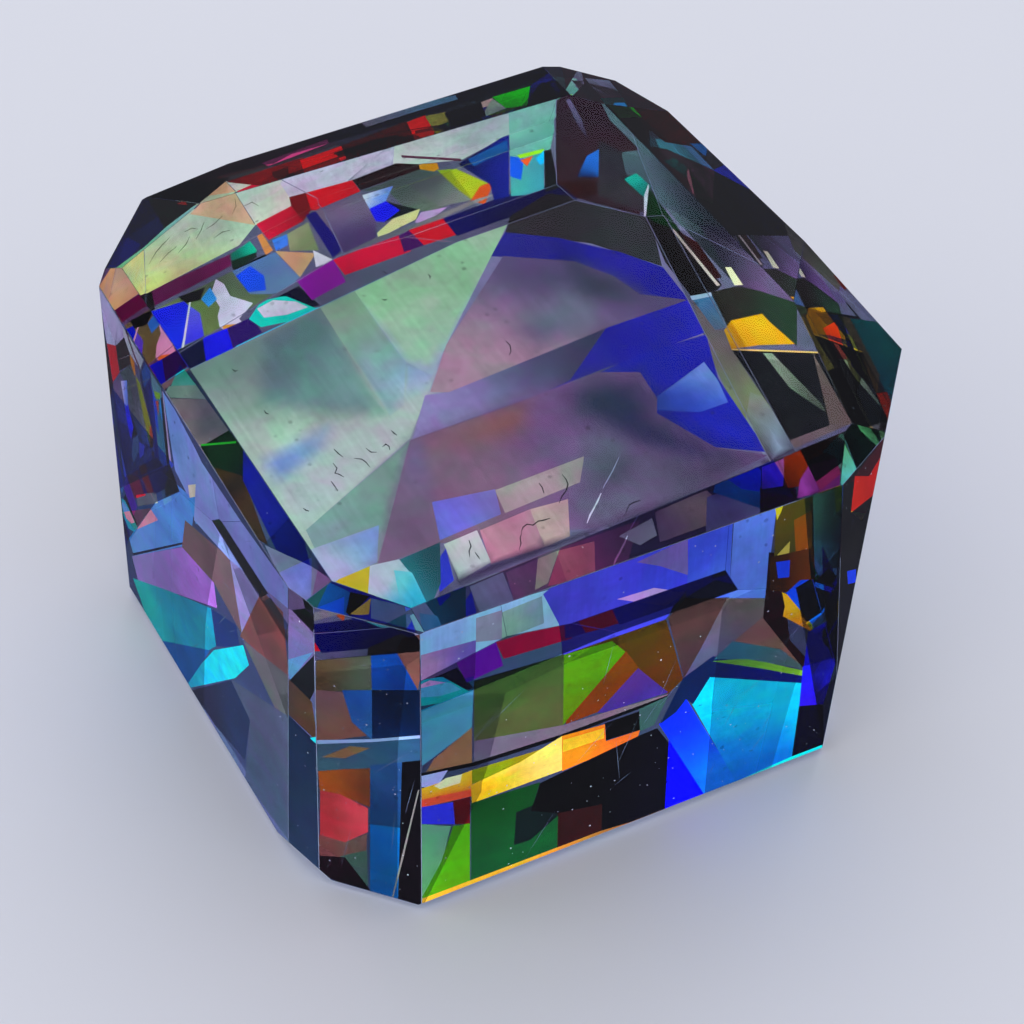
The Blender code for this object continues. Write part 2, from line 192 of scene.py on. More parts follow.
        ("strip_violet", "in", ((4.85, 9.3), (3.58, 9.28), (3.48, 8.21), (5.08, 8.1)), (45, 5, 110)),
        ("lens_rim", "in", ((3.71, 9.23), (2.76, 9.88), (1.51, 9.55), (0.58, 8.07), (2.03, 8.09), (3.4, 8.5)), (0, 255, 215)),
        ("lens_white", "in", ((3.12, 9.58), (2.23, 9.64), (1.29, 8.98), (0.92, 8.38), (2, 8.51), (3.04, 8.93)), (255, 255, 255)),
        ("lens_shade", "in", ((1.99, 9.7), (0.8, 9.74), (0.36, 8.18), (0.71, 8.25), (1.26, 9.06), (1.58, 9.52)), (0, 0, 35)),
        ("aqua_line", "in", ((4.91, 8.13), (0.5, 8.12), (0.53, 7.94), (5, 7.92)), (40, 255, 255)),
        ("bevel_purple", "in", ((0.76, 10.13), (-1.36, 10.33), (-1.35, 8.78), (0.58, 8.65)), (165, 5, 170)),
        ("bevel_crimson", "in", ((-1.35, 10.3), (-4.86, 9.95), (-4.97, 8.76), (-1.47, 9.16)), (255, 5, 60)),
        ("bevel_plum", "in", ((-4.83, 9.92), (-5.44, 9.97), (-5.72, 8.74), (-4.64, 8.89)), (80, 5, 100)),
        ("bevel_red", "in", ((-5.42, 9.98), (-7.31, 9.72), (-7.5, 8.47), (-5.7, 8.75)), (255, 10, 35)),
    ],
    # the base's patches: painted reflections, caustic light and shadow, seen through the table
    "base": [
        ("aqua_line", "in", ((-6.87, -11.38), (-2.51, -12.1), (-2.56, -11.91), (-6.97, -11.14)), (40, 255, 255)),
        ("rim_black", "in", ((13.83, -11.1), (14.05, -10.45), (14.72, -9.49), (14.56, -5.44), (14.18, -5.25), (12.92, -5.34), (13.02, -7.94)), (15, 10, 10), (5, 5, 5), (14, -9.6), (13.7, -5.9)),
        ("foot_strip", "in", ((12.86, -5.22), (12.74, -2.99), (13.1, -2.82), (12.75, -1.53), (12.55, 0.51), (12.15, 4.91), (10.52, 5.19), (11.14, 0.81), (11.62, -1.37)), (130, 125, 115), (150, 165, 110), (12.2, -2.1), (12, 1.3)),
        ("foot_strip_low", "in", ((12.07, 1.13), (12.41, 1.58), (12.15, 4.91), (10.52, 5.19), (10.81, 2.8)), (160, 175, 140), (180, 205, 215), (12, 1.7), (11.7, 4.3)),
        ("base_teal", "in", ((-9.37, -12.22), (-6.68, -11.36), (-2.48, -12.16), (2.58, -13.76), (5.34, -13.74), (8.17, -13.77), (1.5, -7.4), (-2.57, -2.89), (-8.93, 0.07), (-9.31, 3.23), (-10.26, -16.34)), (135, 170, 145), (220, 255, 210), (-2.7, -10.5), (-4.2, -3.5)),
        ("base_grey_left", "in", ((-5.56, -11.47), (-2.51, -12.1), (-2.76, -4.62), (-4.96, -5.83), (-7.39, -7.56)), (105, 145, 135), (145, 200, 175), (-5.6, -10.5), (-4.2, -6.3)),
        ("base_sage", "in", ((-0.58, -12.8), (2.58, -13.76), (8.17, -13.77), (1.5, -7.4), (0.06, -5.96), (-0.59, -7.2)), (185, 240, 175), (205, 255, 200), (1, -10.9), (0.7, -7.4)),
        ("base_sage_strip", "in", ((-2.44, -12.14), (-0.58, -12.8), (-0.59, -7.2), (-1.89, -4.82), (-2.74, -4.47)), (160, 205, 155), (170, 220, 205), (-1.7, -11.5), (-1.7, -6.5)),
        ("base_blue_glow", "in", ((-0.59, -7.2), (0.27, -6.36), (1.5, -7.4), (-0.51, -5.04), (-1.75, -5.09), (-2.07, -6.3)), (190, 215, 240), (215, 240, 240), (-0.5, -6.6), (-1, -5.1)),
        ("base_mint", "in", ((-8.59, -3.67), (-5.31, -5.11), (-2.74, -4.47), (-1.75, -5.09), (-0.51, -5.04), (-2.57, -2.89), (-8.93, 0.07), (-9.21, -3.65)), (240, 255, 230), (225, 250, 225), (-4.9, -3.9), (-8.4, -1.6)),
        ("base_blue_streak", "in", ((-8.88, -4.35), (-6.86, -4.84), (-5.31, -5.11), (-6.28, -3.89), (-8.65, -3.04)), (140, 190, 230), (175, 230, 230), (-7.8, -3.9), (-5.8, -4.6)),
        ("base_teal_front", "in", ((-8.93, 0.07), (-2.63, -2.78), (-7.11, 3.24), (-8.41, 4.1), (-9.31, 3.23)), (150, 205, 165), (170, 215, 195), (-4.2, -1.5), (-8.2, 1.7)),
        ("base_lav_front", "in", ((-9.45, 1.15), (-6.07, 1.15), (-7.09, 3.01), (-8.94, 3.22), (-9.31, 3.23)), (210, 225, 240), (160, 210, 255), (-8.8, 2.1), (-6.6, 1.9)),
        ("base_dark", "in", ((8.16, -13.85), (10.52, -14.52), (11.61, -13.68), (14.1, -11.28), (12.76, -7.76), (10.57, -10.58), (7.39, -12.9)), (35, 30, 30), (40, 45, 45), (9.4, -13.3), (12.6, -11)),
        ("base_indigo", "in", ((7.42, -12.96), (9.5, -11.49), (11.51, -9.44), (12.76, -7.68), (12.69, -4.94), (10.88, -6.49), (10.45, -8.13), (9.31, -9.82), (6.06, -11.77)), (10, 10, 150), (5, 5, 175), (7.6, -11.9), (12, -7.5)),
        ("base_violet", "in", ((6.56, -11.54), (9.31, -9.82), (10.45, -8.13), (10.91, -6.55), (12.74, -5.21), (8.42, -5.26), (0.24, -4.68), (-0.51, -5.04), (1.5, -7.4)), (215, 175, 180), (110, 95, 135), (2.2, -6.4), (7.4, -10.5)),
        ("base_violet_glow", "in", ((4.91, -6.83), (7.52, -8.35), (8.6, -7.98), (9.09, -6.99), (7.87, -5.74), (5.24, -5.58)), (135, 145, 155), (110, 110, 130), (7.2, -7.2), (5.4, -6.2)),
        ("base_violet_dark", "in", ((9.28, -9.76), (10.42, -8.07), (10.91, -6.55), (9.84, -6.03), (9.09, -6.99), (8.4, -8.07)), (65, 70, 90), (100, 95, 125), (9.6, -7.9), (10.5, -6.3)),
        ("base_band", "in", ((0.24, -4.68), (8.42, -5.26), (10.05, -5.04), (9.07, -3.34), (3.94, -2.8), (-2.55, -2.74), (-0.79, -4.97)), (190, 175, 225), (65, 70, 100), (-1.4, -3.2), (7.9, -4)),
        ("base_band_dark", "in", ((5.88, -4.9), (8.32, -5.08), (9.8, -4.43), (8.66, -2.97), (5.55, -2.93)), (70, 70, 100), (45, 50, 90), (5.8, -3.9), (8.4, -4)),
        ("base_blue_a", "in", ((8.42, -5.26), (10.18, -5.27), (12.77, -5.26), (12.31, -3.06), (8.88, -3), (6.85, -3), (4, -2.84), (5.35, -3.02)), (5, 10, 175), (10, 15, 205), (8.4, -4), (12.1, -4.1)),
        ("base_blue_b", "in", ((8.95, -3.12), (12.24, -2.94), (11.27, -0.26), (10.84, 4.67), (8.95, 3.39), (7.75, 0.46), (8.06, -0.43), (8.37, -2.11), (6.79, -2.89)), (5, 20, 190), (5, 25, 205), (9.1, -1.2), (10.1, 2.8)),
        ("base_blue_c", "in", ((8.14, -0.39), (11.24, -1.43), (11.2, -0.15), (10.88, 1.24), (9.46, 1.24), (7.84, 0.3)), (140, 185, 255), (50, 95, 225), (11.1, -1.2), (8.9, 0.5)),
        ("base_rose", "in", ((-2.63, -2.78), (3.97, -2.86), (6.79, -2.89), (8.37, -2.11), (8.22, -0.35), (7.75, 0.46), (8.95, 3.39), (10.74, 4.82), (7.5, 5.23), (2.17, 5.34), (-4.3, 3.18), (-7.19, 3.21)), (165, 125, 145), (145, 110, 155), (-0.3, -1.6), (3.5, -0.5)),
        ("base_rust", "in", ((-1.25, -2.65), (3.18, -2.69), (2.44, -1.32), (-0.6, -1.11), (-2.14, -1.86)), (170, 115, 95), (170, 125, 130), (1.5, -2.7), (-1.2, -1.8)),
        ("base_plum", "in", ((3.18, -2.69), (4.65, -2.66), (3.84, -0.29), (2.72, 0.86), (2, -0.51)), (150, 105, 155), (140, 110, 150), (3.5, -1.9), (2.5, 0.4)),
        ("base_shadow", "in", ((4.67, -2.51), (6.66, -2.67), (8.18, -1.78), (8.12, -0.26), (7.69, 0.57), (8.91, 3.44), (9.63, 4.34), (7.52, 3.7), (5.95, 2.11), (5.01, 0.28), (4.49, -1)), (30, 50, 80), (20, 35, 85), (5.7, -1.8), (7.3, 1.4)),
        ("base_glow", "in", ((3.3, 1.14), (4.95, 0.39), (5.89, 2.22), (5.2, 3.42), (2.95, 3.96), (2.4, 3.03)), (110, 115, 130), (85, 80, 105), (4.3, 2), (4.9, 3.5)),
        ("base_grey_right", "in", ((5.95, 2.11), (7.52, 3.7), (10.74, 4.82), (7.5, 5.23), (4.11, 5.33), (1.15, 5.29), (2, 3.5), (2.95, 3.96), (5.2, 3.42)), (125, 115, 140), (80, 65, 95), (3.7, 4.3), (9.4, 4.7)),
        ("base_left_mauve", "in", ((-2.63, -2.78), (-2.24, -2.59), (-3.27, 0.9), (-4.18, 3.04), (-7.19, 3.21), (-5.01, 0.05)), (155, 125, 150), (145, 120, 160), (-4.6, 0.2), (-2.4, -1.3)),
        ("base_beige", "in", ((-0.76, 1.48), (3.62, 1.37), (2.7, 2.66), (-1.01, 2.86)), (215, 200, 180), (185, 175, 160), (0.7, 1.9), (3.2, 1.8)),
        ("base_iris", "in", ((-3.47, 0.93), (-0.73, 1.43), (-1.19, 2.84), (-4.18, 3.04)), (140, 145, 255), (155, 145, 220), (-3.1, 1.9), (-1, 2)),
        ("base_pink", "in", ((-2.42, 3.27), (0.04, 3.12), (-0.45, 5.33), (-2.91, 5.19)), (255, 165, 180), (240, 170, 180), (-1.9, 4.1), (-0.2, 4.4)),
        ("base_beige_low", "in", ((0.04, 3.12), (1.76, 3.31), (0.79, 5.24), (-0.45, 5.33)), (255, 210, 190), (235, 195, 180), (0.2, 4.2), (1.1, 4.3)),
        ("base_white", "in", ((-4.14, 3.32), (-2.53, 3.21), (-2.86, 5.09), (-4.54, 5.45)), (255, 255, 235), (230, 240, 225), (-3.4, 3.8), (-4, 5.4)),
        ("base_rim", "in", ((-7.05, 5.95), (-4.66, 5.33), (-2.82, 5.11), (2.17, 5.34), (7.5, 5.23), (11.97, 4.89), (14.91, 4.84), (14.41, 5.21)), (60, 45, 85), (70, 50, 80), (-2.7, 5.7), (10.3, 4.9)),
        ("base_rim_blue", "in", ((-5.08, 4.25), (-4.17, 3.56), (-4.7, 5.31), (-5.52, 5.65)), (40, 55, 230)),
        ("base_corner_teal", "in", ((-6.26, 3.29), (-4.23, 3.14), (-5.26, 5.22), (-6.29, 6.26), (-6.39, 5.1)), (15, 145, 145), (10, 90, 100), (-6.3, 3.9), (-4.9, 4)),
        ("base_corner", "in", ((-9.26, 3.32), (-8.91, 3.17), (-7.35, 3.07), (-6.2, 3.26), (-6.12, 4.3), (-6.32, 6.31), (-7.12, 6.09), (-8.27, 4.55)), (235, 255, 250), (65, 240, 255), (-7.2, 4.1), (-6.5, 5.3)),
        ("base_corner_gold", "in", ((-9.26, 3.32), (-8.91, 3.17), (-7.45, 3.08), (-8.27, 4.55)), (255, 220, 5), (255, 235, 25), (-8.8, 3.4), (-7.9, 3.7)),
        ("base_corner_cyan", "in", ((-6.66, 3.72), (-6.05, 4.15), (-6.32, 6.31), (-7.05, 6.13), (-7.19, 5.32)), (45, 235, 245), (135, 255, 255), (-6.5, 5.3), (-7, 4.8)),
        ("base_scratch", "in", ((1.81, 4.91), (2.16, 4.58), (2.51, 4.29), (2.89, 3.96), (3.2, 3.64), (3.18, 3.61), (2.85, 3.9), (2.47, 4.23), (2.12, 4.51), (1.79, 4.88)), (250, 250, 255)),
        ("base_scratch_end", "in", ((3.41, 3.41), (3.87, 3.05), (4.33, 2.67), (4.94, 2.09), (4.93, 2.07), (4.31, 2.63), (3.85, 3.01), (3.4, 3.39)), (185, 190, 215)),
    ],
    "bevel_back": [
        ("bevel_plum", "in", ((-3.02, 8.72), (-3.6, 8.85), (-4.03, 7.57), (-2.97, 7.59)), (80, 5, 100)),
        ("bevel_red", "in", ((-3.58, 8.86), (-5.42, 8.84), (-5.77, 7.52), (-4.01, 7.59)), (255, 10, 35)),
        ("bevel_navy", "in", ((-5.36, 8.82), (-9.48, 8.93), (-12.27, 8.34), (-11.98, 7.01), (-8.5, 7.44), (-5.69, 7.42)), (0, 0, 95), (5, 5, 70), (-5.6, 8.3), (-8.5, 8.3)),
        ("column_dark", "in", ((-11.37, 10.91), (-11.74, 10.88), (-11.36, 8.18), (-10.62, 8.24)), (10, 15, 15)),
        ("base_dark", "in", ((-8.52, 7.5), (-10.74, 8.11), (-12.04, 7.2), (-15.18, 4.59), (-14.75, 0.87), (-11.76, 3.99), (-7.96, 6.54)), (35, 30, 30), (40, 45, 45), (-9.9, 6.9), (-13.8, 4.3)),
    ],
    "back_right_lower": [
        ("bevel_navy", "in", ((7.93, -3.36), (4.32, 1.44), (1.74, 3.76), (1.55, 1.75), (4.68, -1.57), (7.17, -4.81)), (0, 0, 95), (5, 5, 70), (7.6, -3.8), (5, -0.5)),
        ("plum_back", "in", ((3.02, 11.6), (2.49, 12.5), (0.67, 12.32), (-1.38, 8.46), (-1.5, 1.69), (1.56, 1.96), (2.64, 3.11)), (50, 30, 40), (60, 35, 40), (2.3, 9.8), (-0.3, 6.9)),
        ("plum_blue", "in", ((1.66, 4.11), (1.3, 6.54), (0.77, 7.5), (0.63, 4.63)), (30, 135, 235), (5, 20, 60), (0.8, 5.5), (1.6, 4.7)),
        ("black_red", "in", ((2.64, 3.21), (0.84, 4.1), (0.59, 2.86), (1.56, 1.96)), (50, 5, 5)),
        ("back_grey", "in", ((0.81, 8.43), (-0.62, 7.55), (-1.6, 4.36), (-1.72, 2.01), (0.58, 2.76)), (50, 50, 55), (65, 60, 60), (0.4, 6.5), (-1.2, 3.1)),
        ("rim_grey", "in", ((0.97, 12.6), (-2.08, 8.8), (-4.18, 5.11), (-9.49, -3.67), (-8.07, -3.87), (-6.34, -3.07), (-1.84, 4.37), (-0.57, 5.74), (-0.32, 7.72), (-1.15, 8.34), (0.4, 10.75)), (95, 125, 125), (35, 45, 50), (-1.2, 7.5), (-4.9, 2.3)),
        ("rim_teal", "in", ((-0.56, 5), (-1.09, 5.89), (-1.86, 4.91), (-1.57, 3.61)), (10, 220, 175), (5, 150, 125), (-0.8, 5), (-1.6, 4.4)),
        ("rim_green", "in", ((-1.62, 4.79), (-1.94, 4.32), (-3.56, 0.84), (-2.24, 1.33), (-1.78, 1.73)), (0, 55, 10)),
        ("rim_line", "in", ((-1.58, 3.72), (-1.71, 5.04), (-1.76, 4.86), (-1.78, 1.73), (-1.69, 1.69)), (240, 255, 240)),
    ],
    "back_right_upper": [
        ("teal_column", "in", ((5.4, 8.53), (2.63, 11.7), (3.07, 7.38), (3.33, 3.44), (3.62, 3.26), (4.93, 1.59), (5.27, 1)), (145, 220, 185), (105, 185, 160), (4.8, 6.3), (3.4, 4.6)),
        ("plum_back", "in", ((3.09, 9.91), (2.53, 11), (0.72, 10.82), (-1.21, 6.17), (-1.12, -2.07), (1.96, -1.79), (3.01, -0.41)), (50, 30, 40), (60, 35, 40), (2.4, 7.8), (0, 4.2)),
        ("plum_ray", "in", ((2.62, 10.19), (2.43, 10.43), (1.83, 8.13), (1.52, 5.79), (2.06, 7.48)), (120, 115, 145), (70, 60, 80), (2.6, 10.2), (1.7, 6)),
        ("rim_grey", "in", ((1.01, 11.15), (-1.92, 6.59), (-3.93, 2.15), (-9.06, -8.51), (-7.62, -8.77), (-5.88, -7.82), (-1.54, 1.21), (-0.31, 2.85), (-0.13, 5.26), (-0.98, 6.03), (0.5, 8.92)), (95, 125, 125), (35, 45, 50), (-1, 5), (-4.6, -1.2)),
    ],
    "back_right_band": [
        ("plum_back", "in", ((2.98, 11.08), (2.43, 12.03), (0.62, 11.85), (-1.39, 7.73), (-1.44, 0.52), (1.62, 0.81), (2.69, 2.03)), (50, 30, 40), (60, 35, 40), (2.2, 9.2), (-0.3, 6)),
        ("plum_ray", "in", ((2.51, 11.32), (2.32, 11.53), (1.68, 9.5), (1.32, 7.44), (1.9, 8.93)), (120, 115, 145), (70, 60, 80), (2.5, 11.3), (1.5, 7.6)),
        ("back_grey", "in", ((0.81, 7.71), (-0.62, 6.77), (-1.57, 3.37), (-1.67, 0.86), (0.63, 1.66)), (50, 50, 55), (65, 60, 60), (0.4, 5.7), (-1.1, 2)),
        ("rim_grey", "in", ((0.91, 12.14), (-2.09, 8.1), (-4.16, 4.17), (-9.41, -5.21), (-7.98, -5.42), (-6.25, -4.57), (-1.81, 3.38), (-0.55, 4.84), (-0.32, 6.95), (-1.16, 7.61), (0.37, 10.18)), (95, 125, 125), (35, 45, 50), (-1.2, 6.7), (-4.9, 1.2)),
    ],
    "right_upper": [
        ("rim_grey", "in", ((13.85, 7.34), (8.87, 8.47), (5.8, 7.49), (-1.64, 5.55), (0.77, 2.22), (3.61, -0.38), (10.3, 0.9), (12.44, 0.03), (12.46, 2.63), (10.72, 5.59), (13.17, 5.74)), (95, 125, 125), (35, 45, 50), (10.8, 4.4), (5.1, 4.8)),
        ("rim_violet", "in", ((6.11, 3.14), (3.53, 6.88), (-1.64, 5.55), (0.77, 2.22), (3.37, -0.25)), (40, 40, 55), (115, 95, 130), (4.9, 3.8), (0.3, 4.3)),
        ("rim_green", "in", ((10.61, 1.06), (10.12, 1.05), (7.82, -0.63), (10.21, -3), (10.99, -3.46)), (0, 55, 10)),
    ],
    "right_lower": [
        ("rim_grey", "in", ((21.77, 2.93), (15.56, 6.37), (11.2, 7.86), (1.16, 11.36), (3.11, 8.84), (5.81, 6.37), (14.73, 2.98), (17.2, 1.42), (18.17, 2.26), (16.96, 4.29), (20.26, 2.83)), (95, 125, 125), (35, 45, 50), (16.7, 3.8), (9.3, 7.4)),
        ("rim_violet", "in", ((10.13, 6.17), (8.08, 8.96), (1.16, 11.36), (3.11, 8.84), (5.56, 6.55)), (40, 40, 55), (115, 95, 130), (8.8, 7.1), (3.2, 9.9)),
        ("rim_green", "in", ((15.2, 2.85), (14.56, 3.13), (11.03, 3.91), (13.25, 1.75), (14.09, 1.14)), (0, 55, 10)),
        ("rim_black", "in", ((14.09, 1.14), (13.08, 1.9), (11.23, 3.82), (6.6, 5.04), (6.74, 4.28), (8.1, 1.4), (11.13, 0.56)), (15, 10, 10), (5, 5, 5), (12.1, 2.1), (8, 2.9)),
        ("rim_red", "in", ((11.3, 3.72), (9.62, 4.97), (6.87, 5.48), (7.31, 4.58)), (40, 5, 5)),
        ("rim_thread", "in", ((11.91, 3.01), (11.71, 3.32), (6.72, 4.85), (6.88, 4.5)), (210, 205, 180)),
        ("rim_cream", "in", ((7.03, 6.32), (6.65, 6.91), (5.29, 7.1), (5.81, 6.25)), (250, 255, 190)),
        ("rim_shadow", "in", ((7.12, 3.48), (5.56, 6.55), (3.97, 8.48), (1.41, 11.19), (0.01, 8.96), (0.21, 8.73), (2.34, 7.61), (3.12, 7.34), (4.92, 2.81)), (35, 35, 25), (35, 65, 40), (5.1, 5.2), (1.8, 8.7)),
        ("rim_steel", "in", ((8.17, 1.3), (7.02, 3.52), (4.77, 3.36), (5.48, 1.92)), (75, 150, 185), (95, 130, 145), (7.5, 2), (5.5, 2.5)),
        ("steel_cap", "in", ((8.27, 1.25), (7.05, 3.58), (6.85, 3.46), (8, 1.24)), (205, 240, 255)),
        ("gold", "in", ((4.94, 2.57), (4.81, 4.01), (3.14, 7.36), (2.37, 7.66), (0.16, 8.83), (2.26, 5.4), (3.83, 2.49)), (255, 195, 5), (230, 170, 0), (3.5, 5.6), (2.8, 4.5)),
        ("gold_line", "in", ((3.85, 2.51), (-0.06, 8.48), (-1.42, 10.53), (-1.48, 10.42), (3.78, 2.41)), (255, 220, 115)),
        ("rim_low", "in", ((3.8, 2.43), (-1.47, 10.45), (-5.61, 9.86), (-3.24, 3.44), (1.57, 2.99)), (10, 15, 20), (15, 20, 25), (1.4, 4.2), (-2, 6.4)),
        ("rim_low_grey", "in", ((-1.18, 10), (-5.61, 9.86), (-3.24, 3.44), (-2.7, 3.38), (-4.47, 7.8)), (115, 100, 90), (135, 115, 110), (-3.6, 10), (-3.2, 4.4)),
        ("rim_ray", "in", ((1.75, 5.36), (1.21, 6.21), (-3.35, 8.16), (-3.83, 8.11), (-1, 6.06)), (145, 170, 135), (90, 100, 85), (0.7, 6), (-3.3, 7.9)),
    ],
    "bevel_right": [
        ("rim_green", "in", ((15.32, 10.08), (14.79, 10.21), (11.55, 10.63), (12.93, 9.62), (13.53, 9.34)), (0, 55, 10)),
        ("rim_black", "in", ((13.53, 9.34), (12.81, 9.69), (11.72, 10.59), (7.52, 11.23), (7.37, 10.88), (7.63, 9.56), (10.33, 9.13)), (15, 10, 10), (5, 5, 5), (11.9, 9.8), (8.1, 10.2)),
        ("rim_steel", "in", ((7.66, 9.51), (7.36, 10.53), (5.04, 10.5), (5.21, 9.84)), (75, 150, 185), (95, 130, 145), (7.3, 9.9), (5.4, 10.1)),
        ("steel_cap", "in", ((7.74, 9.49), (7.41, 10.56), (7.16, 10.51), (7.46, 9.49)), (205, 240, 255)),
        ("gold", "in", ((4.9, 10.14), (5.32, 10.79), (4.91, 12.37), (4.24, 12.53), (2.42, 13.12), (3.27, 11.48), (3.77, 10.12)), (255, 195, 5), (230, 170, 0), (4.6, 11.6), (3.5, 11.1)),
        ("gold_line", "in", ((3.79, 10.13), (2.07, 12.97), (1.45, 13.97), (1.34, 13.92), (3.68, 10.08)), (255, 220, 115)),
        ("rim_low", "in", ((3.71, 10.1), (1.37, 13.93), (-3.09, 13.75), (-2.99, 10.68), (1.69, 10.39)), (10, 15, 20), (15, 20, 25), (1.9, 10.9), (-0.7, 12)),
        ("foot_strip", "in", ((7.52, 9.51), (5.21, 9.84), (4.98, 10.25), (3.69, 10.14), (1.58, 10.34), (-2.94, 10.82), (-3.05, 9.19), (1.44, 8.94), (3.65, 9)), (130, 125, 115), (150, 165, 110), (4.4, 9.5), (0.8, 9.9)),
        ("foot_strip_low", "in", ((1, 9.98), (0.49, 10.42), (-2.94, 10.82), (-3.05, 9.19), (-0.6, 9)), (160, 175, 140), (180, 205, 215), (0.5, 10), (-2.2, 10.2)),
        ("base_rim", "in", ((-1.68, -9.88), (-1.34, -7.28), (-1.35, -5.25), (-2.24, 0.34), (-2.76, 6.04), (-2.89, 10.62), (-3.15, 13.61), (-3.48, 13.18)), (60, 45, 85), (70, 50, 80), (-1.9, -5), (-2.8, 8.9)),
    ],
    "crown_back_left": [
        ("corner_base", "out", ((8.19, -9.33), (1.26, -11.57), (1.24, -8.47), (6.44, -8.97)), (5, 20, 90), (0, 10, 85), (2.4, -9.5), (6.7, -9.4)),
        ("corner_navy", "out", ((8.14, -9.1), (4.24, -10.37), (4.64, -9.21), (6.74, -8.92)), (0, 10, 145)),
        ("corner_black", "out", ((1.35, -11.18), (-0.5, -10.92), (1.24, -8.47), (3.32, -8.92)), (0, 10, 5)),
        ("corner_brown", "out", ((-0.32, -11.01), (-0.39, -10.63), (1.5, -8.98), (1.51, -9.44)), (130, 10, 5)),
        ("corner_edge", "out", ((6.65, -9.24), (4.81, -8.93), (3.16, -8.88), (1.18, -8.57), (1.37, -8.28), (3.55, -8.46), (6.5, -8.88)), (130, 210, 255), (175, 240, 255), (6.3, -9.1), (1.8, -8.6)),
    ],
    "crown_left": [
        ("corner_navy", "out", ((-9.32, -6.59), (-10.91, -4.21), (-9.95, -3.9), (-9.4, -5.39)), (0, 10, 145)),
        ("left_base", "out", ((-9.31, -6.44), (-10.15, -5.66), (-9.54, -5.16), (-2.72, -5.76), (-2.55, -7.23)), (255, 180, 225), (240, 150, 175), (-9.1, -5.7), (-3.7, -6.2)),
        ("left_turquoise", "out", ((-3.21, -5.96), (-1.72, -6.03), (-1.97, -6.41), (-2.47, -6.89)), (60, 245, 220), (165, 255, 255), (-2.8, -6.1), (-2.3, -6.6)),
        ("left_pearl", "out", ((-2.59, -6.87), (-1.79, -6.03), (-0.87, -6.1), (-2.3, -7.33)), (255, 235, 240), (245, 255, 255), (-1.7, -6.4), (-2.2, -6.9)),
        ("left_umber", "out", ((-2.22, -7.33), (-0.87, -6.1), (1.26, -6.24), (1.05, -7.65), (-0.78, -7.42)), (255, 195, 220), (210, 165, 185), (-1.4, -7), (0.7, -6.6)),
        ("left_green", "out", ((0.97, -7.59), (1.15, -6.22), (2.95, -6.32), (3.56, -7.03), (2.28, -7.63)), (35, 70, 50), (30, 50, 45), (1.4, -7), (2.9, -7)),
        ("left_green_line", "out", ((0.89, -7.4), (1.82, -6.29), (1.91, -6.34), (0.97, -7.45)), (65, 250, 75)),
        ("left_brown", "out", ((2.24, -7.6), (3.48, -6.98), (6.99, -7.97), (6.07, -8.24)), (100, 65, 45), (85, 60, 50), (2.9, -7.5), (6.2, -7.8)),
        ("left_navy", "out", ((2.37, -6.29), (7.6, -6.72), (9.07, -7.28), (7.52, -7.88), (3.65, -7.08)), (35, 45, 190), (20, 35, 160), (4.6, -6.8), (8, -7.3)),
        ("left_lavender", "out", ((6.9, -8.06), (9.04, -7.25), (10.33, -6.96), (10.27, -8.27), (9.25, -8.55)), (215, 190, 245), (230, 205, 255), (7.9, -8), (9.6, -7.9)),
    ],
    "crown_back": [
        ("corner_black", "out", ((9.68, -7.26), (7.7, -8.68), (8.21, -5), (10.49, -3.58)), (0, 10, 5)),
        ("corner_brown", "out", ((7.93, -8.6), (7.67, -8.33), (8.71, -5.21), (8.96, -5.61)), (130, 10, 5)),
        ("back_corner_black", "out", ((9.78, -7.67), (7.41, -9.35), (4.31, -9.41), (6.26, -6.42), (8.28, -4.93)), (0, 10, 10), (10, 10, 10), (8.6, -7.4), (6.2, -7.3)),
        ("back_tan", "out", ((8.39, -4.89), (6.32, -6.48), (6.44, -5.82), (6.73, -4.57)), (255, 240, 230)),
        ("back_cream", "out", ((6.32, -6.48), (4.84, -4.2), (3.55, -4.91), (3.9, -4.18), (7.01, -4.56)), (255, 255, 255)),
        ("back_pink_rim", "out", ((7.41, -9.35), (4.99, -9.29), (-0.85, -9.43), (0.21, -6.81), (2.63, -6.52), (5.88, -6.82), (7.21, -7.23)), (65, 35, 40), (55, 40, 55), (5.4, -8.1), (0, -8.2)),
        ("back_magenta", "out", ((4.26, -7.24), (0.9, -7.69), (1.05, -7.18), (4.22, -6.71)), (255, 80, 145)),
        ("back_slate", "out", ((0.85, -7.48), (-0.85, -9.43), (-12.75, -10.94), (-9.45, -5.21), (-8.31, -6.08), (-4.6, -6.51), (-2.69, -6.98), (0.82, -6.45)), (45, 45, 60), (25, 30, 40), (-0.5, -8.1), (-8.5, -7.1)),
        ("back_streak", "out", ((-1.12, -8.28), (-3.44, -8.61), (-5.78, -8.25), (-5.63, -7.69), (-3.25, -7.76), (-1.03, -7.7)), (170, 255, 255), (255, 250, 230), (-4.4, -8.1), (-1.1, -7.9)),
        ("back_crimson", "out", ((6.26, -6.42), (2.63, -6.52), (3.44, -4.64), (5.11, -4.32), (6.37, -6.38)), (145, 0, 5)),
        ("back_red", "out", ((2.88, -6.3), (0.76, -6.47), (1.24, -4.93), (3.49, -4.54)), (255, 5, 15)),
        ("back_brown", "out", ((0.8, -6.51), (-2.69, -6.98), (-1.96, -4.72), (1.38, -4.75)), (65, 5, 5), (80, 5, 5), (0.7, -5.7), (-2, -6.2)),
        ("back_red_spot", "out", ((-2.63, -6.87), (-3.62, -7.03), (-3.13, -5.16), (-2.61, -4.37), (-1.79, -4.39)), (255, 15, 15)),
        ("back_olive", "out", ((-3.56, -6.92), (-4.44, -6.68), (-3.9, -5.03), (-2.88, -4.59)), (160, 140, 60)),
        ("back_navy", "out", ((-4.35, -6.61), (-6.31, -6.61), (-5.51, -4.86), (-3.78, -4.81)), (5, 5, 10)),
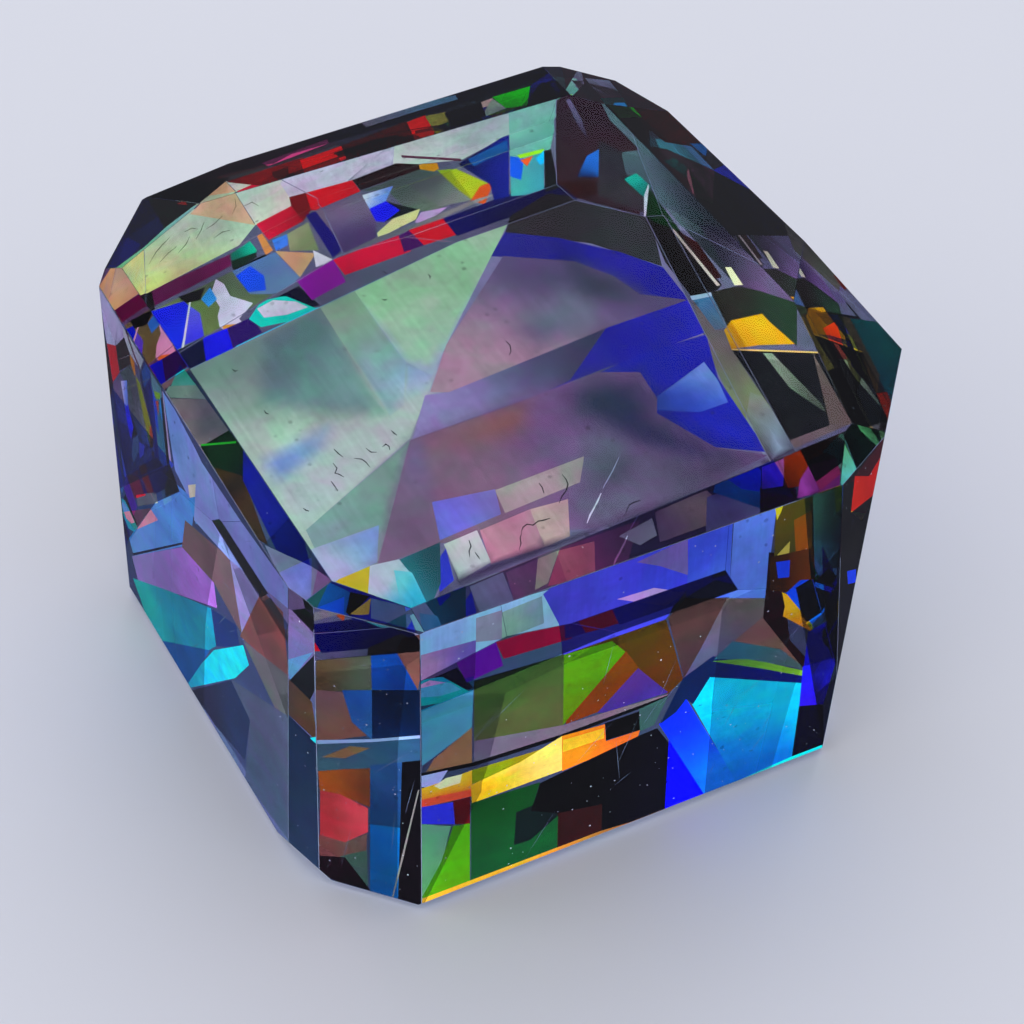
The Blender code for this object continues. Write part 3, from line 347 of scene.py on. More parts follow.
        ("back_taupe", "out", ((-6.19, -6.57), (-6.79, -6.64), (-6.62, -5.06), (-5.51, -4.86)), (255, 180, 185)),
        ("back_green", "out", ((-6.85, -6.75), (-8.75, -6.68), (-7.5, -4.65), (-6.62, -5.06)), (5, 255, 5), (0, 205, 10), (-8.2, -6.2), (-6.7, -5.7)),
        ("back_end", "out", ((-8.75, -6.68), (-11.59, -8.38), (-9.67, -4.26), (-7.35, -4.46)), (5, 5, 65), (30, 30, 175), (-8.4, -4.6), (-10.2, -7.6)),
    ],
    "crown_back_right": [
        ("corner_r_plum", "out", ((5.35, -11.07), (2.64, -10.44), (-0.86, -8.55), (-1.2, -7.58), (1.13, -5.6), (2.89, -5.69)), (75, 10, 20), (85, 10, 15), (2.2, -6), (-0.1, -6.9)),
        ("corner_r_wedge", "out", ((3.42, -9.24), (2.55, -10.05), (1.17, -8.03), (1.19, -6)), (255, 255, 255), (160, 145, 155), (2.9, -9.1), (1.4, -7.2)),
        ("corner_r_streak", "out", ((3.01, -5.26), (4.34, -11.02), (3.07, -8.2), (2.68, -5.51)), (255, 255, 255)),
        ("corner_r_teal", "out", ((1.73, -6.68), (1.11, -7.86), (0.03, -6.74), (0.89, -5.46)), (0, 255, 210)),
        ("right_red_brown", "out", ((1.47, -8.59), (-0.86, -8.55), (-4.7, -3.76), (-3.89, -3.06), (-2.74, -2.78), (-1.55, -4.05), (-0.36, -5.39)), (105, 10, 10)),
    ],
    "crown_right": [
        ("corner_r_teal", "out", ((10.84, -4.72), (10.91, -5.87), (10.03, -6.16), (10.04, -4.76)), (0, 255, 210)),
        ("right_base", "out", ((10.68, -4.65), (10.01, -7.78), (0.02, -9.68), (-4.39, -6.71)), (65, 65, 65), (125, 115, 140), (3.7, -5.8), (-2.9, -6.9)),
        ("right_red_brown", "out", ((11.31, -5.95), (10.17, -7.85), (6.69, -8.53), (6.87, -7.45), (7.35, -6.33), (8.37, -6.02), (9.4, -5.76)), (105, 10, 10)),
        ("right_green", "out", ((10.36, -4.9), (10.19, -6.03), (9.32, -6.12), (9.17, -4.95)), (5, 255, 35), (0, 190, 50), (9.7, -5.7), (10, -5)),
        ("right_green_dark", "out", ((9.25, -4.89), (9.32, -6.07), (6.99, -5.36), (8.23, -5)), (0, 5, 5)),
        ("right_slate", "out", ((8.37, -6.02), (7.35, -6.33), (7.02, -7.48), (5.17, -7.72), (6.81, -6.17), (7.06, -5.44)), (140, 230, 255)),
        ("right_taupe", "out", ((6.91, -5.37), (6.81, -6.17), (5.17, -7.72), (2.72, -6.44), (3.34, -5.62)), (125, 65, 80)),
        ("right_ink", "out", ((5.09, -7.68), (4.74, -9.57), (0.01, -9.88), (-0.1, -9.07), (0.31, -6.22), (3.27, -5.58), (2.72, -6.44)), (10, 15, 30), (10, 15, 35), (3.6, -7.8), (0.6, -8.7)),
        ("right_violet", "out", ((0.38, -6.25), (0.16, -9.76), (-4.52, -6.74), (-1.76, -6.09)), (185, 170, 200), (235, 215, 255), (-0.4, -6.5), (-3.7, -6.9)),
        ("right_blue_a", "out", ((7.25, -7.54), (7.16, -8.41), (6.24, -7.85), (6.55, -7.7)), (20, 180, 255)),
        ("right_blue_b", "out", ((5.17, -7.67), (5.9, -9.15), (3.97, -9.69), (3.46, -8.92)), (15, 55, 255), (25, 65, 250), (4, -8.9), (5.1, -8.1)),
        ("near_rim", "out", ((1.88, -9.35), (0.9, -9.6), (-2.46, -10.15), (-3.83, -9.26), (-0.95, -8.62)), (210, 210, 155), (140, 135, 105), (-2.6, -9.5), (0.5, -9.4)),
        ("near_thread", "out", ((-0.66, -8.53), (-0.88, -8.66), (-3.76, -9.3), (-3.82, -9.07)), (255, 255, 255)),
    ],
    "crown_right_near": [
        ("near_violet", "out", ((-1.64, -4.51), (3.13, -6.28), (1.67, -7.93), (-0.99, -7.2), (-1.83, -5.87)), (205, 190, 225), (235, 215, 255), (0.9, -5.7), (-0.8, -6.7)),
        ("near_rim", "out", ((4.73, -5.52), (4.03, -6.07), (1.44, -7.67), (-0.1, -7.11), (2.05, -5.56)), (210, 210, 155), (140, 135, 105), (1, -7), (3.6, -6)),
        ("near_thread", "out", ((2.26, -5.37), (2.13, -5.58), (-0.02, -7.13), (-0.17, -6.89)), (255, 255, 255)),
        ("near_orange", "out", ((1.05, -7.13), (1.46, -7.73), (0.51, -8.1), (0.09, -7.45)), (255, 50, 20)),
        ("near_blue", "out", ((-1.82, -4.37), (-1.5, -4.54), (-0.77, -7.26), (-1.54, -7.53), (-1.76, -5.89)), (210, 200, 255), (245, 255, 255), (-1.7, -4.8), (-1.4, -7.3)),
        ("near_white", "out", ((-0.11, -7.05), (0.73, -8.16), (-1.68, -9.85), (-1.7, -9.02), (-1.67, -7.73)), (255, 255, 255), (240, 245, 255), (-0.4, -7.8), (-1.5, -8.9)),
        ("near_teal", "out", ((-1.81, -7.12), (-1.48, -9.09), (-2.5, -10.34), (-7.37, -7.95), (-7.21, -7.67), (-5.21, -7.49)), (5, 165, 135), (10, 140, 130), (-2.8, -8.3), (-6.5, -7.8)),
        ("near_brown", "out", ((-1.72, -4.49), (-1.83, -5.87), (-1.79, -7.17), (-5.3, -7.61), (-9.13, -6.15), (-9.04, -5.26)), (140, 125, 75), (115, 105, 70), (-3.3, -4.9), (-7.4, -5.9)),
        ("near_plum", "out", ((-1.97, -5.46), (-1.79, -6.6), (-3, -6.84), (-2.64, -5.8)), (95, 85, 220)),
        ("near_red", "out", ((-2.97, -5.57), (-2.25, -6.38), (-4.74, -6.22), (-4.82, -5.77)), (255, 90, 85), (220, 75, 85), (-3.1, -6), (-4.5, -6.1)),
        ("near_cream", "out", ((-4.82, -5.77), (-4.81, -6.2), (-6.83, -6.1), (-7, -5.78)), (255, 255, 225), (220, 195, 170), (-5, -5.9), (-6.6, -6)),
        ("near_black", "out", ((-5.99, -4.85), (-5.35, -5.68), (-9.07, -6.17), (-9.08, -5.53), (-8.74, -5.07)), (5, 5, 5)),
        ("near_thread_gold", "out", ((-6.73, -5.86), (-6.75, -5.99), (-9.09, -6.3), (-9.15, -6.1)), (255, 255, 170)),
        ("near_night", "out", ((-3.23, -6.54), (-3.41, -6.77), (-5.2, -6.93), (-5.87, -6.61), (-5.14, -6.34)), (0, 0, 75)),
        ("near_gold", "out", ((-2.84, -6.74), (-3.24, -6.91), (-6, -6.99), (-5.23, -6.83)), (255, 255, 90)),
        ("near_silver", "out", ((-5.73, -6.64), (-6.12, -7), (-7.52, -7.07), (-9.09, -6.48), (-8.98, -6.24), (-6.83, -6.1)), (255, 255, 255), (150, 180, 195), (-6, -6.7), (-8.5, -6.6)),
        ("near_coral", "out", ((-6.6, -7.05), (-6.35, -7.64), (-7.92, -7.75), (-8.28, -7.18)), (255, 65, 40)),
    ],
    "crown_front_right": [
        ("tip_teal", "out", ((1.3, -4.86), (2.47, -5.47), (3.37, -6.73), (1.07, -6.76), (-0.67, -6.87)), (145, 255, 190), (135, 250, 255), (2.2, -6.1), (0.2, -6.5)),
    ],
    "crown_front": [
        ("front_base", "out", ((-11.29, -8.42), (8.8, -7.35), (6.9, -9.93), (-11.23, -9.55)), (115, 115, 160), (85, 75, 120), (-9.8, -8.9), (1, -8.1)),
        ("front_blue_bit", "out", ((-10.08, -8.07), (-9.25, -7.93), (-9.63, -8.53), (-10.18, -8.78)), (20, 35, 255)),
        ("front_beige", "out", ((-5.74, -8.23), (-4.77, -8.19), (-5.92, -9.39), (-6.52, -9.48)), (170, 225, 195)),
        ("front_wine", "out", ((-4.77, -8.19), (-1.28, -8.21), (-2.58, -9.62), (-5.26, -9.61), (-5.98, -9.51)), (180, 110, 150), (160, 105, 155), (-4.3, -8.9), (-2.4, -8.7)),
        ("front_slate_bit", "out", ((-2.39, -8.55), (-0.8, -8.3), (-0.99, -9.05), (-1.82, -9.2)), (245, 255, 255)),
        ("front_plum", "out", ((-0.56, -8.11), (1.81, -7.95), (1.99, -8.37), (1.06, -9.37), (-1.03, -9.37)), (175, 150, 180), (255, 230, 205), (-0.6, -9), (1.3, -8.5)),
        ("front_slate", "out", ((1.69, -8.25), (2.19, -8.25), (3.4, -9.46), (3.27, -9.69), (0.87, -9.63)), (165, 175, 230), (195, 210, 255), (1.6, -9.1), (3, -9.4)),
        ("front_blue", "out", ((2.03, -8.14), (2.36, -7.77), (4.23, -7.7), (4.32, -7.94), (3.4, -9.46)), (5, 160, 255), (5, 120, 200), (2.5, -8.2), (3.9, -8.3)),
        ("front_black", "out", ((3.87, -8.65), (5.27, -9), (4.97, -9.67), (3.29, -9.65)), (40, 5, 55)),
        ("front_purple", "out", ((4.43, -7.83), (5.51, -7.8), (4.77, -8.9), (3.92, -8.72)), (255, 120, 230), (175, 90, 160), (4.7, -8.3), (4.1, -8.6)),
        ("front_rust", "out", ((5.49, -7.74), (8.8, -7.35), (8.26, -7.95), (7.44, -8.14), (6.47, -8.22), (5.41, -9.15), (4.76, -9)), (255, 70, 5), (190, 50, 5), (6.5, -8), (5.3, -8.6)),
        ("front_mulberry", "out", ((6.25, -8.43), (7.44, -8.54), (7.12, -9.71), (5.79, -9.69), (5.02, -9.59), (5.55, -8.91)), (255, 85, 205)),
        ("front_teal", "out", ((7.05, -8.09), (8.8, -7.35), (7.48, -9.41), (7.32, -8.9), (7.49, -8.46)), (165, 255, 255)),
    ],
    "crown_front_left": [
        ("frontl_base", "out", ((-0.89, -9.59), (-0.09, -8.43), (3.25, -8.66), (4.04, -9.42), (-0.3, -9.75)), (5, 25, 170), (25, 40, 255), (-0.2, -9.2), (3, -9.2)),
        ("frontl_teal", "out", ((-0.81, -9.49), (-0.06, -8.5), (0.05, -8.89), (-0.21, -9.89)), (60, 135, 150)),
        ("frontl_blue", "out", ((-0.1, -8.6), (0.88, -8.76), (1.11, -9.57), (-0.11, -10.03), (-0.16, -9.71)), (0, 120, 255), (0, 95, 210), (0, -9.3), (0.9, -9.3)),
        ("frontl_night", "out", ((0.8, -8.74), (1.57, -8.68), (1.14, -9.64), (0.94, -9.54)), (0, 0, 5)),
        ("frontl_gold", "out", ((1.11, -9.57), (1.64, -8.74), (1.79, -9.36), (1.49, -9.49)), (255, 255, 100)),
        ("frontl_wash", "out", ((1.64, -8.74), (3.28, -8.65), (4.01, -9.43), (1.92, -9.49)), (130, 205, 255), (150, 215, 240), (2.1, -8.9), (3.6, -9.3)),
    ],
    "wall_front": [
        ("wall_lavender", "out", ((-11.36, 18.28), (-5.38, 17.81), (-4.97, 13.74), (-8.77, 14.13), (-11.09, 14.69)), (150, 210, 255), (170, 230, 255), (-10.4, 17.2), (-6.1, 16.3)),
        ("wall_mauve", "out", ((-11.17, 16.7), (-8.85, 16.44), (-8.78, 14.37), (-11.09, 14.81)), (180, 145, 190), (120, 100, 195), (-10.8, 15.7), (-9.3, 15.5)),
        ("wall_mint", "out", ((-8.92, 17.69), (-7.83, 17.62), (-7.68, 15.94), (-8.85, 16.32)), (160, 160, 185)),
        ("wall_mint_b", "out", ((-7.82, 17.5), (-6.13, 17.61), (-5.92, 16.01), (-7.72, 15.9)), (155, 205, 180), (140, 180, 190), (-7.2, 16.5), (-6.3, 17)),
        ("wall_indigo", "out", ((-6.09, 17.7), (-5.4, 18.15), (-2.57, 17.87), (0.27, 17.92), (2.03, 18.15), (2.59, 13.67), (0.44, 14.94), (-0.36, 13.59), (-4.92, 13.72), (-5.25, 15.64)), (80, 80, 230), (70, 80, 255), (-4.7, 15.1), (0.4, 16.6)),
        ("wall_facet_a", "out", ((-2.03, 17.62), (0.18, 17.97), (0.43, 15.8), (-0.94, 16.92)), (125, 110, 190)),
        ("wall_lens", "out", ((-2.73, 15.88), (-1.09, 15.77), (0.45, 14.82), (-0.41, 14.42)), (225, 180, 255)),
        ("wall_iris", "out", ((0.29, 17.81), (2.17, 18.09), (2.56, 13.57), (0.5, 14.4)), (65, 95, 240), (85, 130, 255), (0.9, 16.4), (2.1, 14.8)),
        ("wall_sky", "out", ((2.22, 18.07), (4.16, 18.05), (4.34, 12.7), (2.57, 13.45)), (105, 145, 255), (95, 140, 240), (3.1, 17.1), (3.3, 13.6)),
        ("wall_umber", "out", ((0.49, 14.46), (2.52, 13.53), (2.13, 10.65), (0.96, 9.53), (-0.23, 13.65)), (80, 55, 50), (70, 50, 55), (1.2, 13.4), (1.1, 10.5)),
        ("wall_ash", "out", ((2.47, 13.56), (4.34, 12.7), (4.41, 11.49), (2.24, 10.12), (0.92, 9.43), (1.54, 10.93)), (105, 95, 90), (90, 90, 130), (3.7, 12.6), (1.7, 10)),
        ("wall_bronze", "out", ((-4.92, 13.72), (-0.32, 13.63), (0.24, 11.79), (0.92, 9.49), (0.28, 8.89), (-1.43, 11.23), (-2.71, 13.24)), (75, 55, 5), (95, 50, 10), (-1.5, 13.2), (0.3, 10.3)),
        ("wall_green", "out", ((-4.92, 13.72), (-2.73, 13.49), (-2.01, 12.5), (-4.45, 9.53), (-4.62, 9.37)), (80, 155, 5), (90, 140, 5), (-4.1, 13), (-4.1, 10.1)),
        ("wall_moss", "out", ((-8.8, 14.04), (-4.88, 13.76), (-4.57, 9.35), (-8.6, 10.42)), (55, 90, 35), (85, 95, 50), (-7.7, 13.6), (-7, 10)),
        ("wall_rust", "out", ((-2.02, 12.57), (-1.24, 11.13), (-2.9, 9.42), (-4.44, 9.4), (-4.46, 9.59)), (120, 60, 5), (130, 55, 10), (-2.2, 11.8), (-3.6, 9.7)),
        ("wall_purple", "out", ((-1.34, 11.24), (0.27, 9.01), (-2.61, 9.22), (-3.03, 9.37)), (85, 50, 140), (65, 45, 145), (-1.2, 10.4), (-1, 9.2)),
        ("wall_lilac", "out", ((-8.6, 10.48), (-4.58, 9.41), (-2.61, 9.22), (0.28, 8.89), (0.17, 8.63), (-4.57, 8.74), (-8.52, 8.92)), (115, 105, 125), (130, 110, 125), (-7.4, 9.3), (-2.9, 9.2)),
        ("wall_teal", "out", ((-11.09, 14.81), (-8.82, 14.39), (-8.74, 11.32), (-10.85, 10.13)), (65, 155, 190), (80, 165, 185), (-10.2, 13.7), (-9.5, 11.9)),
        ("wall_clay", "out", ((-10.34, 10.28), (-8.74, 11.38), (-8.61, 9.09), (-10.7, 9.56)), (155, 115, 75)),
        ("wall_line", "out", ((-10.88, 9.72), (-8.53, 9.17), (-4.58, 8.86), (0.29, 8.82), (0.31, 8.63), (-4.56, 8.61), (-8.52, 8.92), (-10.86, 9.47)), (5, 5, 10)),
        ("wall_periwinkle", "out", ((-10.87, 9.53), (-9.68, 9.28), (-10.12, 8.47), (-10.84, 8.85)), (175, 195, 240)),
        ("wall_fire_a", "out", ((-10.88, 8.75), (-9.96, 8.69), (-8.59, 8.72), (-8.51, 7.19), (-10.84, 7.74)), (255, 210, 35), (255, 125, 35), (-9.5, 8.4), (-9.7, 7.5)),
        ("wall_white_hot", "out", ((-10.26, 8.61), (-9.74, 8.83), (-9.03, 8.7), (-9.09, 8.18), (-9.98, 8.28)), (255, 255, 190)),
        ("wall_fire_rim", "out", ((-10.85, 8.06), (-8.53, 7.51), (-8.5, 7.06), (-10.83, 7.55)), (255, 90, 55)),
        ("wall_olive_slip", "out", ((-8.59, 8.72), (-5.9, 8.43), (-4.63, 8.4), (-5.95, 7.84), (-8.54, 7.83)), (135, 155, 5), (175, 145, 10), (-7.8, 8.2), (-5.5, 8.2)),
        ("wall_fire_b", "out", ((-8.59, 7.79), (-6.41, 8.08), (-4.57, 8.74), (-4.39, 6.54), (-8.48, 6.61)), (250, 205, 25), (255, 230, 105), (-7.7, 7), (-5.3, 7.6)),
        ("wall_fire_c", "out", ((-4.57, 8.74), (-2.59, 8.47), (-2.44, 7.35), (-0.85, 7.23), (-0.94, 6.71), (-4.39, 6.48)), (245, 145, 20), (240, 110, 35), (-3.7, 7.7), (-1.5, 7.1)),
        ("wall_fire_c2", "out", ((-4.5, 8.46), (-2.61, 8.24), (-2.55, 7.59), (-4.44, 7.69)), (245, 200, 40)),
        ("wall_notch", "out", ((-2.59, 8.54), (-0.97, 8.47), (-0.85, 7.23), (-2.44, 7.41)), (5, 5, 5)),
        ("wall_petrol", "out", ((-1.03, 8.62), (0.3, 8.76), (-0.19, 7.21), (-0.84, 7.16)), (55, 95, 90)),
        ("wall_blue_bit", "out", ((-10.79, 7.59), (-9.35, 7.14), (-9.19, 5.67), (-10.74, 6.51)), (50, 55, 240)),
        ("wall_wine", "out", ((-9.35, 7.2), (-8.59, 7.05), (-8.49, 5.3), (-9.19, 5.67)), (95, 5, 15)),
        ("wall_seafoam", "out", ((-10.74, 6.51), (-9.37, 5.64), (-9.84, 2.28), (-10.52, 1.35)), (105, 185, 135), (120, 205, 125), (-10.3, 5.3), (-10.2, 2.3)),
        ("wall_leaf", "out", ((-9.27, 5.59), (-8.5, 5.36), (-8.23, 0.52), (-10.49, 0.67), (-10.53, 1.55), (-9.71, 3.52)), (70, 155, 5), (85, 170, 5), (-8.9, 4.5), (-9.7, 1.7)),
        ("wall_forest", "out", ((-8.52, 6.64), (-5.38, 6.3), (-5.67, 4.62), (-4.26, 3.74), (-4.15, 0.45), (-8.18, 0.42)), (10, 70, 25), (15, 85, 40), (-7.6, 5.7), (-6.5, 1.9)),
        ("wall_forest_dark", "out", ((-6.38, 4.93), (-5.7, 4.95), (-5.3, 5.12), (-4.17, 3.75), (-5.58, 2.69), (-6.33, 2.77)), (10, 25, 25)),
        ("wall_night", "out", ((-5.38, 6.24), (-0.81, 6.9), (-0.02, 6.94), (0.74, 5.55), (1, 0.46), (-2.01, 0.08), (-2.3, 3.21), (-4.36, 3.79), (-5.67, 4.62)), (5, 5, 5), (5, 5, 15), (-3.4, 4.8), (0.2, 4.2)),
        ("wall_cocoa", "out", ((-4.36, 3.79), (-2.25, 3.25), (-2.01, 0.08), (-4.14, 0.31)), (45, 15, 15)),
        ("wall_ultramarine", "out", ((0.65, 5.91), (3.13, 0.73), (1.03, 0.18)), (0, 0, 255)),
        ("wall_cobalt", "out", ((0.05, 7.15), (1.2, 8.19), (4.64, 0.94), (3.14, 0.66)), (5, 45, 255), (5, 125, 245), (1, 7.2), (3.4, 1.5)),
        ("wall_cyan", "out", ((1.55, 7.65), (2.23, 9.03), (7.11, 6.29), (7.25, 0.92), (4.6, 0.89)), (0, 225, 255), (0, 120, 235), (6.2, 6.1), (4.3, 2)),
        ("wall_navy_rim", "out", ((0.91, 9.55), (2.23, 10.25), (7.01, 6.97), (7.07, 6.25), (2.24, 8.97), (1.6, 7.62), (1.21, 8.12), (0.81, 7.52), (0.1, 7.13)), (0, 15, 115), (5, 30, 80), (4.7, 7.9), (1.3, 8.6)),
        ("wall_fern", "out", ((2.21, 9.95), (4, 9.28), (7.06, 7.01), (7.05, 6.7), (4.69, 8.33)), (135, 200, 50), (90, 155, 55), (6.3, 7.5), (3.1, 9.5)),
        ("wall_petrol_b", "out", ((2.3, 10.03), (3.14, 10.77), (5.59, 9.13), (7.09, 7.12), (4, 9.21)), (45, 105, 125), (75, 105, 105), (3.3, 10), (6.2, 8)),
        ("wall_dusk", "out", ((3.15, 10.71), (4.4, 11.55), (5.6, 10.09), (6.96, 7.3), (5.6, 9.06)), (130, 90, 85), (140, 100, 80), (4.1, 11), (6.2, 8.4)),
        ("wall_coal", "out", ((4.41, 11.49), (4.31, 13.3), (4.15, 15.43), (4.65, 15.15), (5.24, 12.64), (5.98, 9.43), (7.23, 7.49), (6.92, 7.26)), (30, 5, 10)),
        ("wall_amber", "out", ((5.14, 12.68), (5.52, 12.33), (6.95, 10), (7.09, 9.39), (5.4, 11.14), (5.41, 11.73)), (255, 200, 25), (235, 150, 10), (5.4, 12.1), (6.8, 9.9)),
        ("wall_olive", "out", ((4.12, 18.02), (5.82, 17.89), (6.37, 14.22), (4.45, 14.96)), (100, 85, 15), (75, 75, 25), (4.7, 17), (6, 15)),
        ("wall_sienna", "out", ((5.11, 16.81), (5.9, 17.03), (6.31, 14.3), (5.52, 14.6)), (170, 90, 5)),
        ("wall_khaki", "out", ((4.57, 15.07), (5.09, 15.64), (5.19, 14.63)), (215, 200, 80)),
        ("wall_citrine", "out", ((4.08, 17.98), (4.48, 18.03), (4.41, 17.56), (4.28, 17.17)), (250, 235, 25)),
        ("wall_ember", "out", ((4.24, 15.11), (6.63, 14.68), (6.83, 12.74), (5.34, 12.59), (4.52, 13.08)), (50, 25, 5), (110, 50, 10), (4.6, 13.9), (6.1, 14.1)),
        ("wall_blue_spark", "out", ((4.58, 14.67), (5.26, 14.48), (5.36, 13.46), (4.82, 13.64)), (25, 75, 255)),
        ("wall_royal_b", "out", ((5.35, 12.53), (5.94, 13.02), (7.09, 12.56), (7.55, 10.51), (6.96, 9.94)), (5, 85, 255), (5, 115, 235), (6.1, 12.1), (7, 11.3)),
        ("wall_edge_green", "out", ((5.81, 17.95), (7.33, 17.97), (7.39, 16.38), (7.77, 12.19), (6.69, 12.68)), (145, 215, 165), (75, 130, 190), (6.6, 17.3), (7.4, 13)),
        ("wall_edge_lime", "out", ((6.78, 17.93), (7.43, 17.93), (7.33, 16.47), (7.11, 16.39)), (210, 255, 65)),
        ("wall_edge_navy", "out", ((6.72, 14.69), (7.82, 12.17), (8.69, 6.91), (7.55, 10.51), (7.1, 12.49)), (5, 5, 140), (0, 0, 120), (7.7, 11.7), (8.3, 8.3)),
        ("wall_ink", "out", ((6.83, 9.52), (7.94, 9.85), (8.66, 7.11), (6.95, 7.37)), (0, 0, 180)),
        ("wall_electric", "out", ((6.9, 7.39), (8.61, 7.14), (8.36, 4.22), (7.1, 4.71)), (30, 25, 255), (45, 15, 235), (7.6, 6.7), (7.6, 4.8)),
        ("wall_deep", "out", ((7.09, 4.78), (8.35, 4.29), (8.87, 1.22), (7.23, 1.06)), (0, 0, 25)),
        ("wall_foot_cyan", "out", ((4.16, 1.19), (7.12, 1.45), (8.84, 1.43), (9.04, 0.8), (4.54, 0.59)), (5, 255, 255)),
        ("wall_foot_gold", "out", ((-10.53, 1.55), (-2.18, 1.44), (0.94, 1.03), (0.99, 0.6), (-2.11, 0.67), (-10.51, 0.94)), (255, 190, 45), (150, 90, 50), (-6.9, 1.3), (-0.2, 1.1)),
    ],
    "wall_front_right": [
        ("corner_wall", "out", ((0.87, 4.6), (-1.08, 17.06), (2.72, 16.91)), (5, 5, 15), (10, 10, 5), (0.8, 9.3), (1.3, 13.4)),
        ("corner_wall_maroon", "out", ((-0.17, 16.49), (1.35, 16.69), (2.57, 16.8), (2.44, 15.85), (1.59, 15.51)), (70, 5, 15)),
        ("corner_wall_red", "out", ((0.24, 16.51), (1.59, 15.51), (2.51, 15.9), (2.18, 13.78), (1.67, 13.41), (0.28, 14.56)), (255, 35, 5), (240, 25, 10), (1.1, 15.1), (2, 15.3)),
        ("corner_wall_lime", "out", ((0.27, 14.63), (1.66, 13.47), (1.46, 13.18)), (255, 255, 15)),
        ("corner_wall_blue", "out", ((0.61, 11.09), (1.47, 10.52), (1.64, 9.66), (0.87, 10.16)), (10, 55, 210)),
    ],
    "wall_front_left": [
        ("cut_lavender", "out", ((-1, 18.35), (3.3, 18.63), (3.25, 17.37), (-1, 15.16)), (230, 225, 255), (190, 195, 220), (0.1, 17.4), (2.5, 17.7)),
        ("cut_brown", "out", ((2.55, 17.89), (3.3, 18.4), (3.27, 16.24), (3.14, 15.15), (2.29, 17)), (125, 80, 70)),
        ("cut_olive", "out", ((-0.95, 15.29), (1.33, 16.46), (1.28, 14.42), (-1.02, 13.39)), (90, 70, 45), (85, 100, 80), (-0.4, 15.2), (0.8, 14.8)),
        ("cut_blue", "out", ((1.29, 16.45), (2.3, 17.06), (3.14, 15.15), (1.28, 14.42)), (5, 80, 180), (5, 60, 140), (1.6, 16), (2.6, 15.5)),
        ("cut_taupe", "out", ((-1.02, 13.51), (0.18, 13.86), (1.22, 11.71), (-1.13, 10.32)), (125, 95, 95), (140, 95, 80), (-0.7, 13.1), (0.3, 12)),
        ("cut_blue_b", "out", ((0.06, 13.93), (1.28, 14.42), (1.22, 11.4), (0.41, 12.17)), (30, 90, 175), (45, 110, 175), (0.6, 13.5), (0.9, 11.6)),
        ("cut_navy", "out", ((1.28, 14.42), (3.26, 15.2), (3.23, 12.34), (1.22, 11.52)), (0, 20, 50), (5, 40, 90), (2.4, 14.3), (1.6, 12)),
        ("cut_line", "out", ((-1.13, 10.45), (1.22, 11.46), (3.23, 12.52), (3.23, 12.34), (1.21, 11.22), (-1.14, 10.2)), (165, 205, 250)),
        ("cut_band", "out", ((-1.14, 10.2), (1.21, 11.28), (3.23, 12.34), (3.21, 10.75), (-0.18, 8.98), (-1.2, 8.43)), (65, 100, 120), (45, 95, 130), (-0.6, 9.6), (2.4, 11.3)),
        ("cut_band_tan", "out", ((-0.91, 9.49), (0.29, 10.66), (1.12, 10.87), (0.06, 9.82)), (145, 115, 75)),
        ("cut_ochre", "out", ((-1.11, 8.53), (0.04, 9.13), (1.18, 9.66), (1.12, 7.12), (-0.23, 7.38), (-1.08, 7.21)), (195, 90, 30), (125, 65, 35), (-0.6, 8.3), (0.7, 8.6)),
        ("cut_red", "out", ((-1.07, 7.34), (-0.22, 7.44), (0.95, 7.04), (0.91, 5.48), (-0.1, 4.38), (-1.18, 4.38)), (210, 60, 65), (255, 85, 95), (-0.7, 5.9), (0.5, 6)),
        ("cut_wine", "out", ((-1.26, 4.41), (-0.1, 4.38), (0.87, 5.39), (0.78, 3.44), (-1.32, 2.99)), (145, 80, 75), (125, 95, 85), (-0.8, 3.9), (0.3, 4)),
        ("cut_sage", "out", ((-0.35, 3.35), (0.84, 4.26), (0.81, 1.15), (0.05, 2.18)), (70, 105, 90)),
        ("cut_dark", "out", ((-1.4, 2.95), (-0.13, 3.37), (0.99, 1.51), (0.98, 1.09), (-1.36, 1.82)), (30, 10, 20), (15, 5, 10), (-0.8, 2.5), (0.5, 1.4)),
        ("cut_column", "out", ((1.1, 9.82), (2.47, 10.57), (2.41, 6.38), (1.01, 5.97)), (35, 85, 140), (20, 65, 115), (1.5, 9), (2.1, 7.1)),
        ("cut_column_low", "out", ((1.01, 6.04), (2.41, 6.38), (2.21, 1.51), (0.9, 1.47)), (0, 105, 180), (5, 90, 155), (1.6, 5.3), (1.8, 2.3)),
        ("cut_black", "out", ((2.43, 10.55), (3.22, 11), (3.12, 1.58), (2.12, 1.47)), (5, 5, 10), (10, 5, 10), (2.7, 8.9), (2.8, 4.4)),
        ("cut_scratch", "out", ((3.07, 9.08), (3.13, 9.11), (2.43, 4.63), (1.85, 1.14), (1.79, 1.11), (2.34, 4.59)), (135, 135, 130)),
    ],
    "wall_left_narrow": [
        ("narrow_top", "out", ((6, 17.96), (7.52, 18.03), (7.31, 14.39), (5.53, 12.29)), (120, 95, 140), (105, 105, 160), (6.7, 17.2), (6.2, 14.6)),
        ("narrow_sky", "out", ((5.63, 13.52), (7.32, 15.29), (5.78, 12.49)), (85, 140, 185)),
        ("narrow_night", "out", ((5.64, 12.27), (7.36, 15.16), (7.27, 13.11), (6.92, 12.25)), (15, 20, 25)),
        ("narrow_brown", "out", ((5.55, 12.54), (5.78, 12.49), (7.03, 12.23), (7.22, 10.04), (5.48, 10.27)), (85, 60, 40), (70, 55, 50), (6.6, 11.7), (5.7, 11.9)),
        ("narrow_slate", "out", ((5.36, 10.29), (7.21, 9.91), (6.8, 1.59), (4.64, 1.62)), (20, 40, 70), (30, 50, 80), (6.1, 9.2), (5.3, 3)),
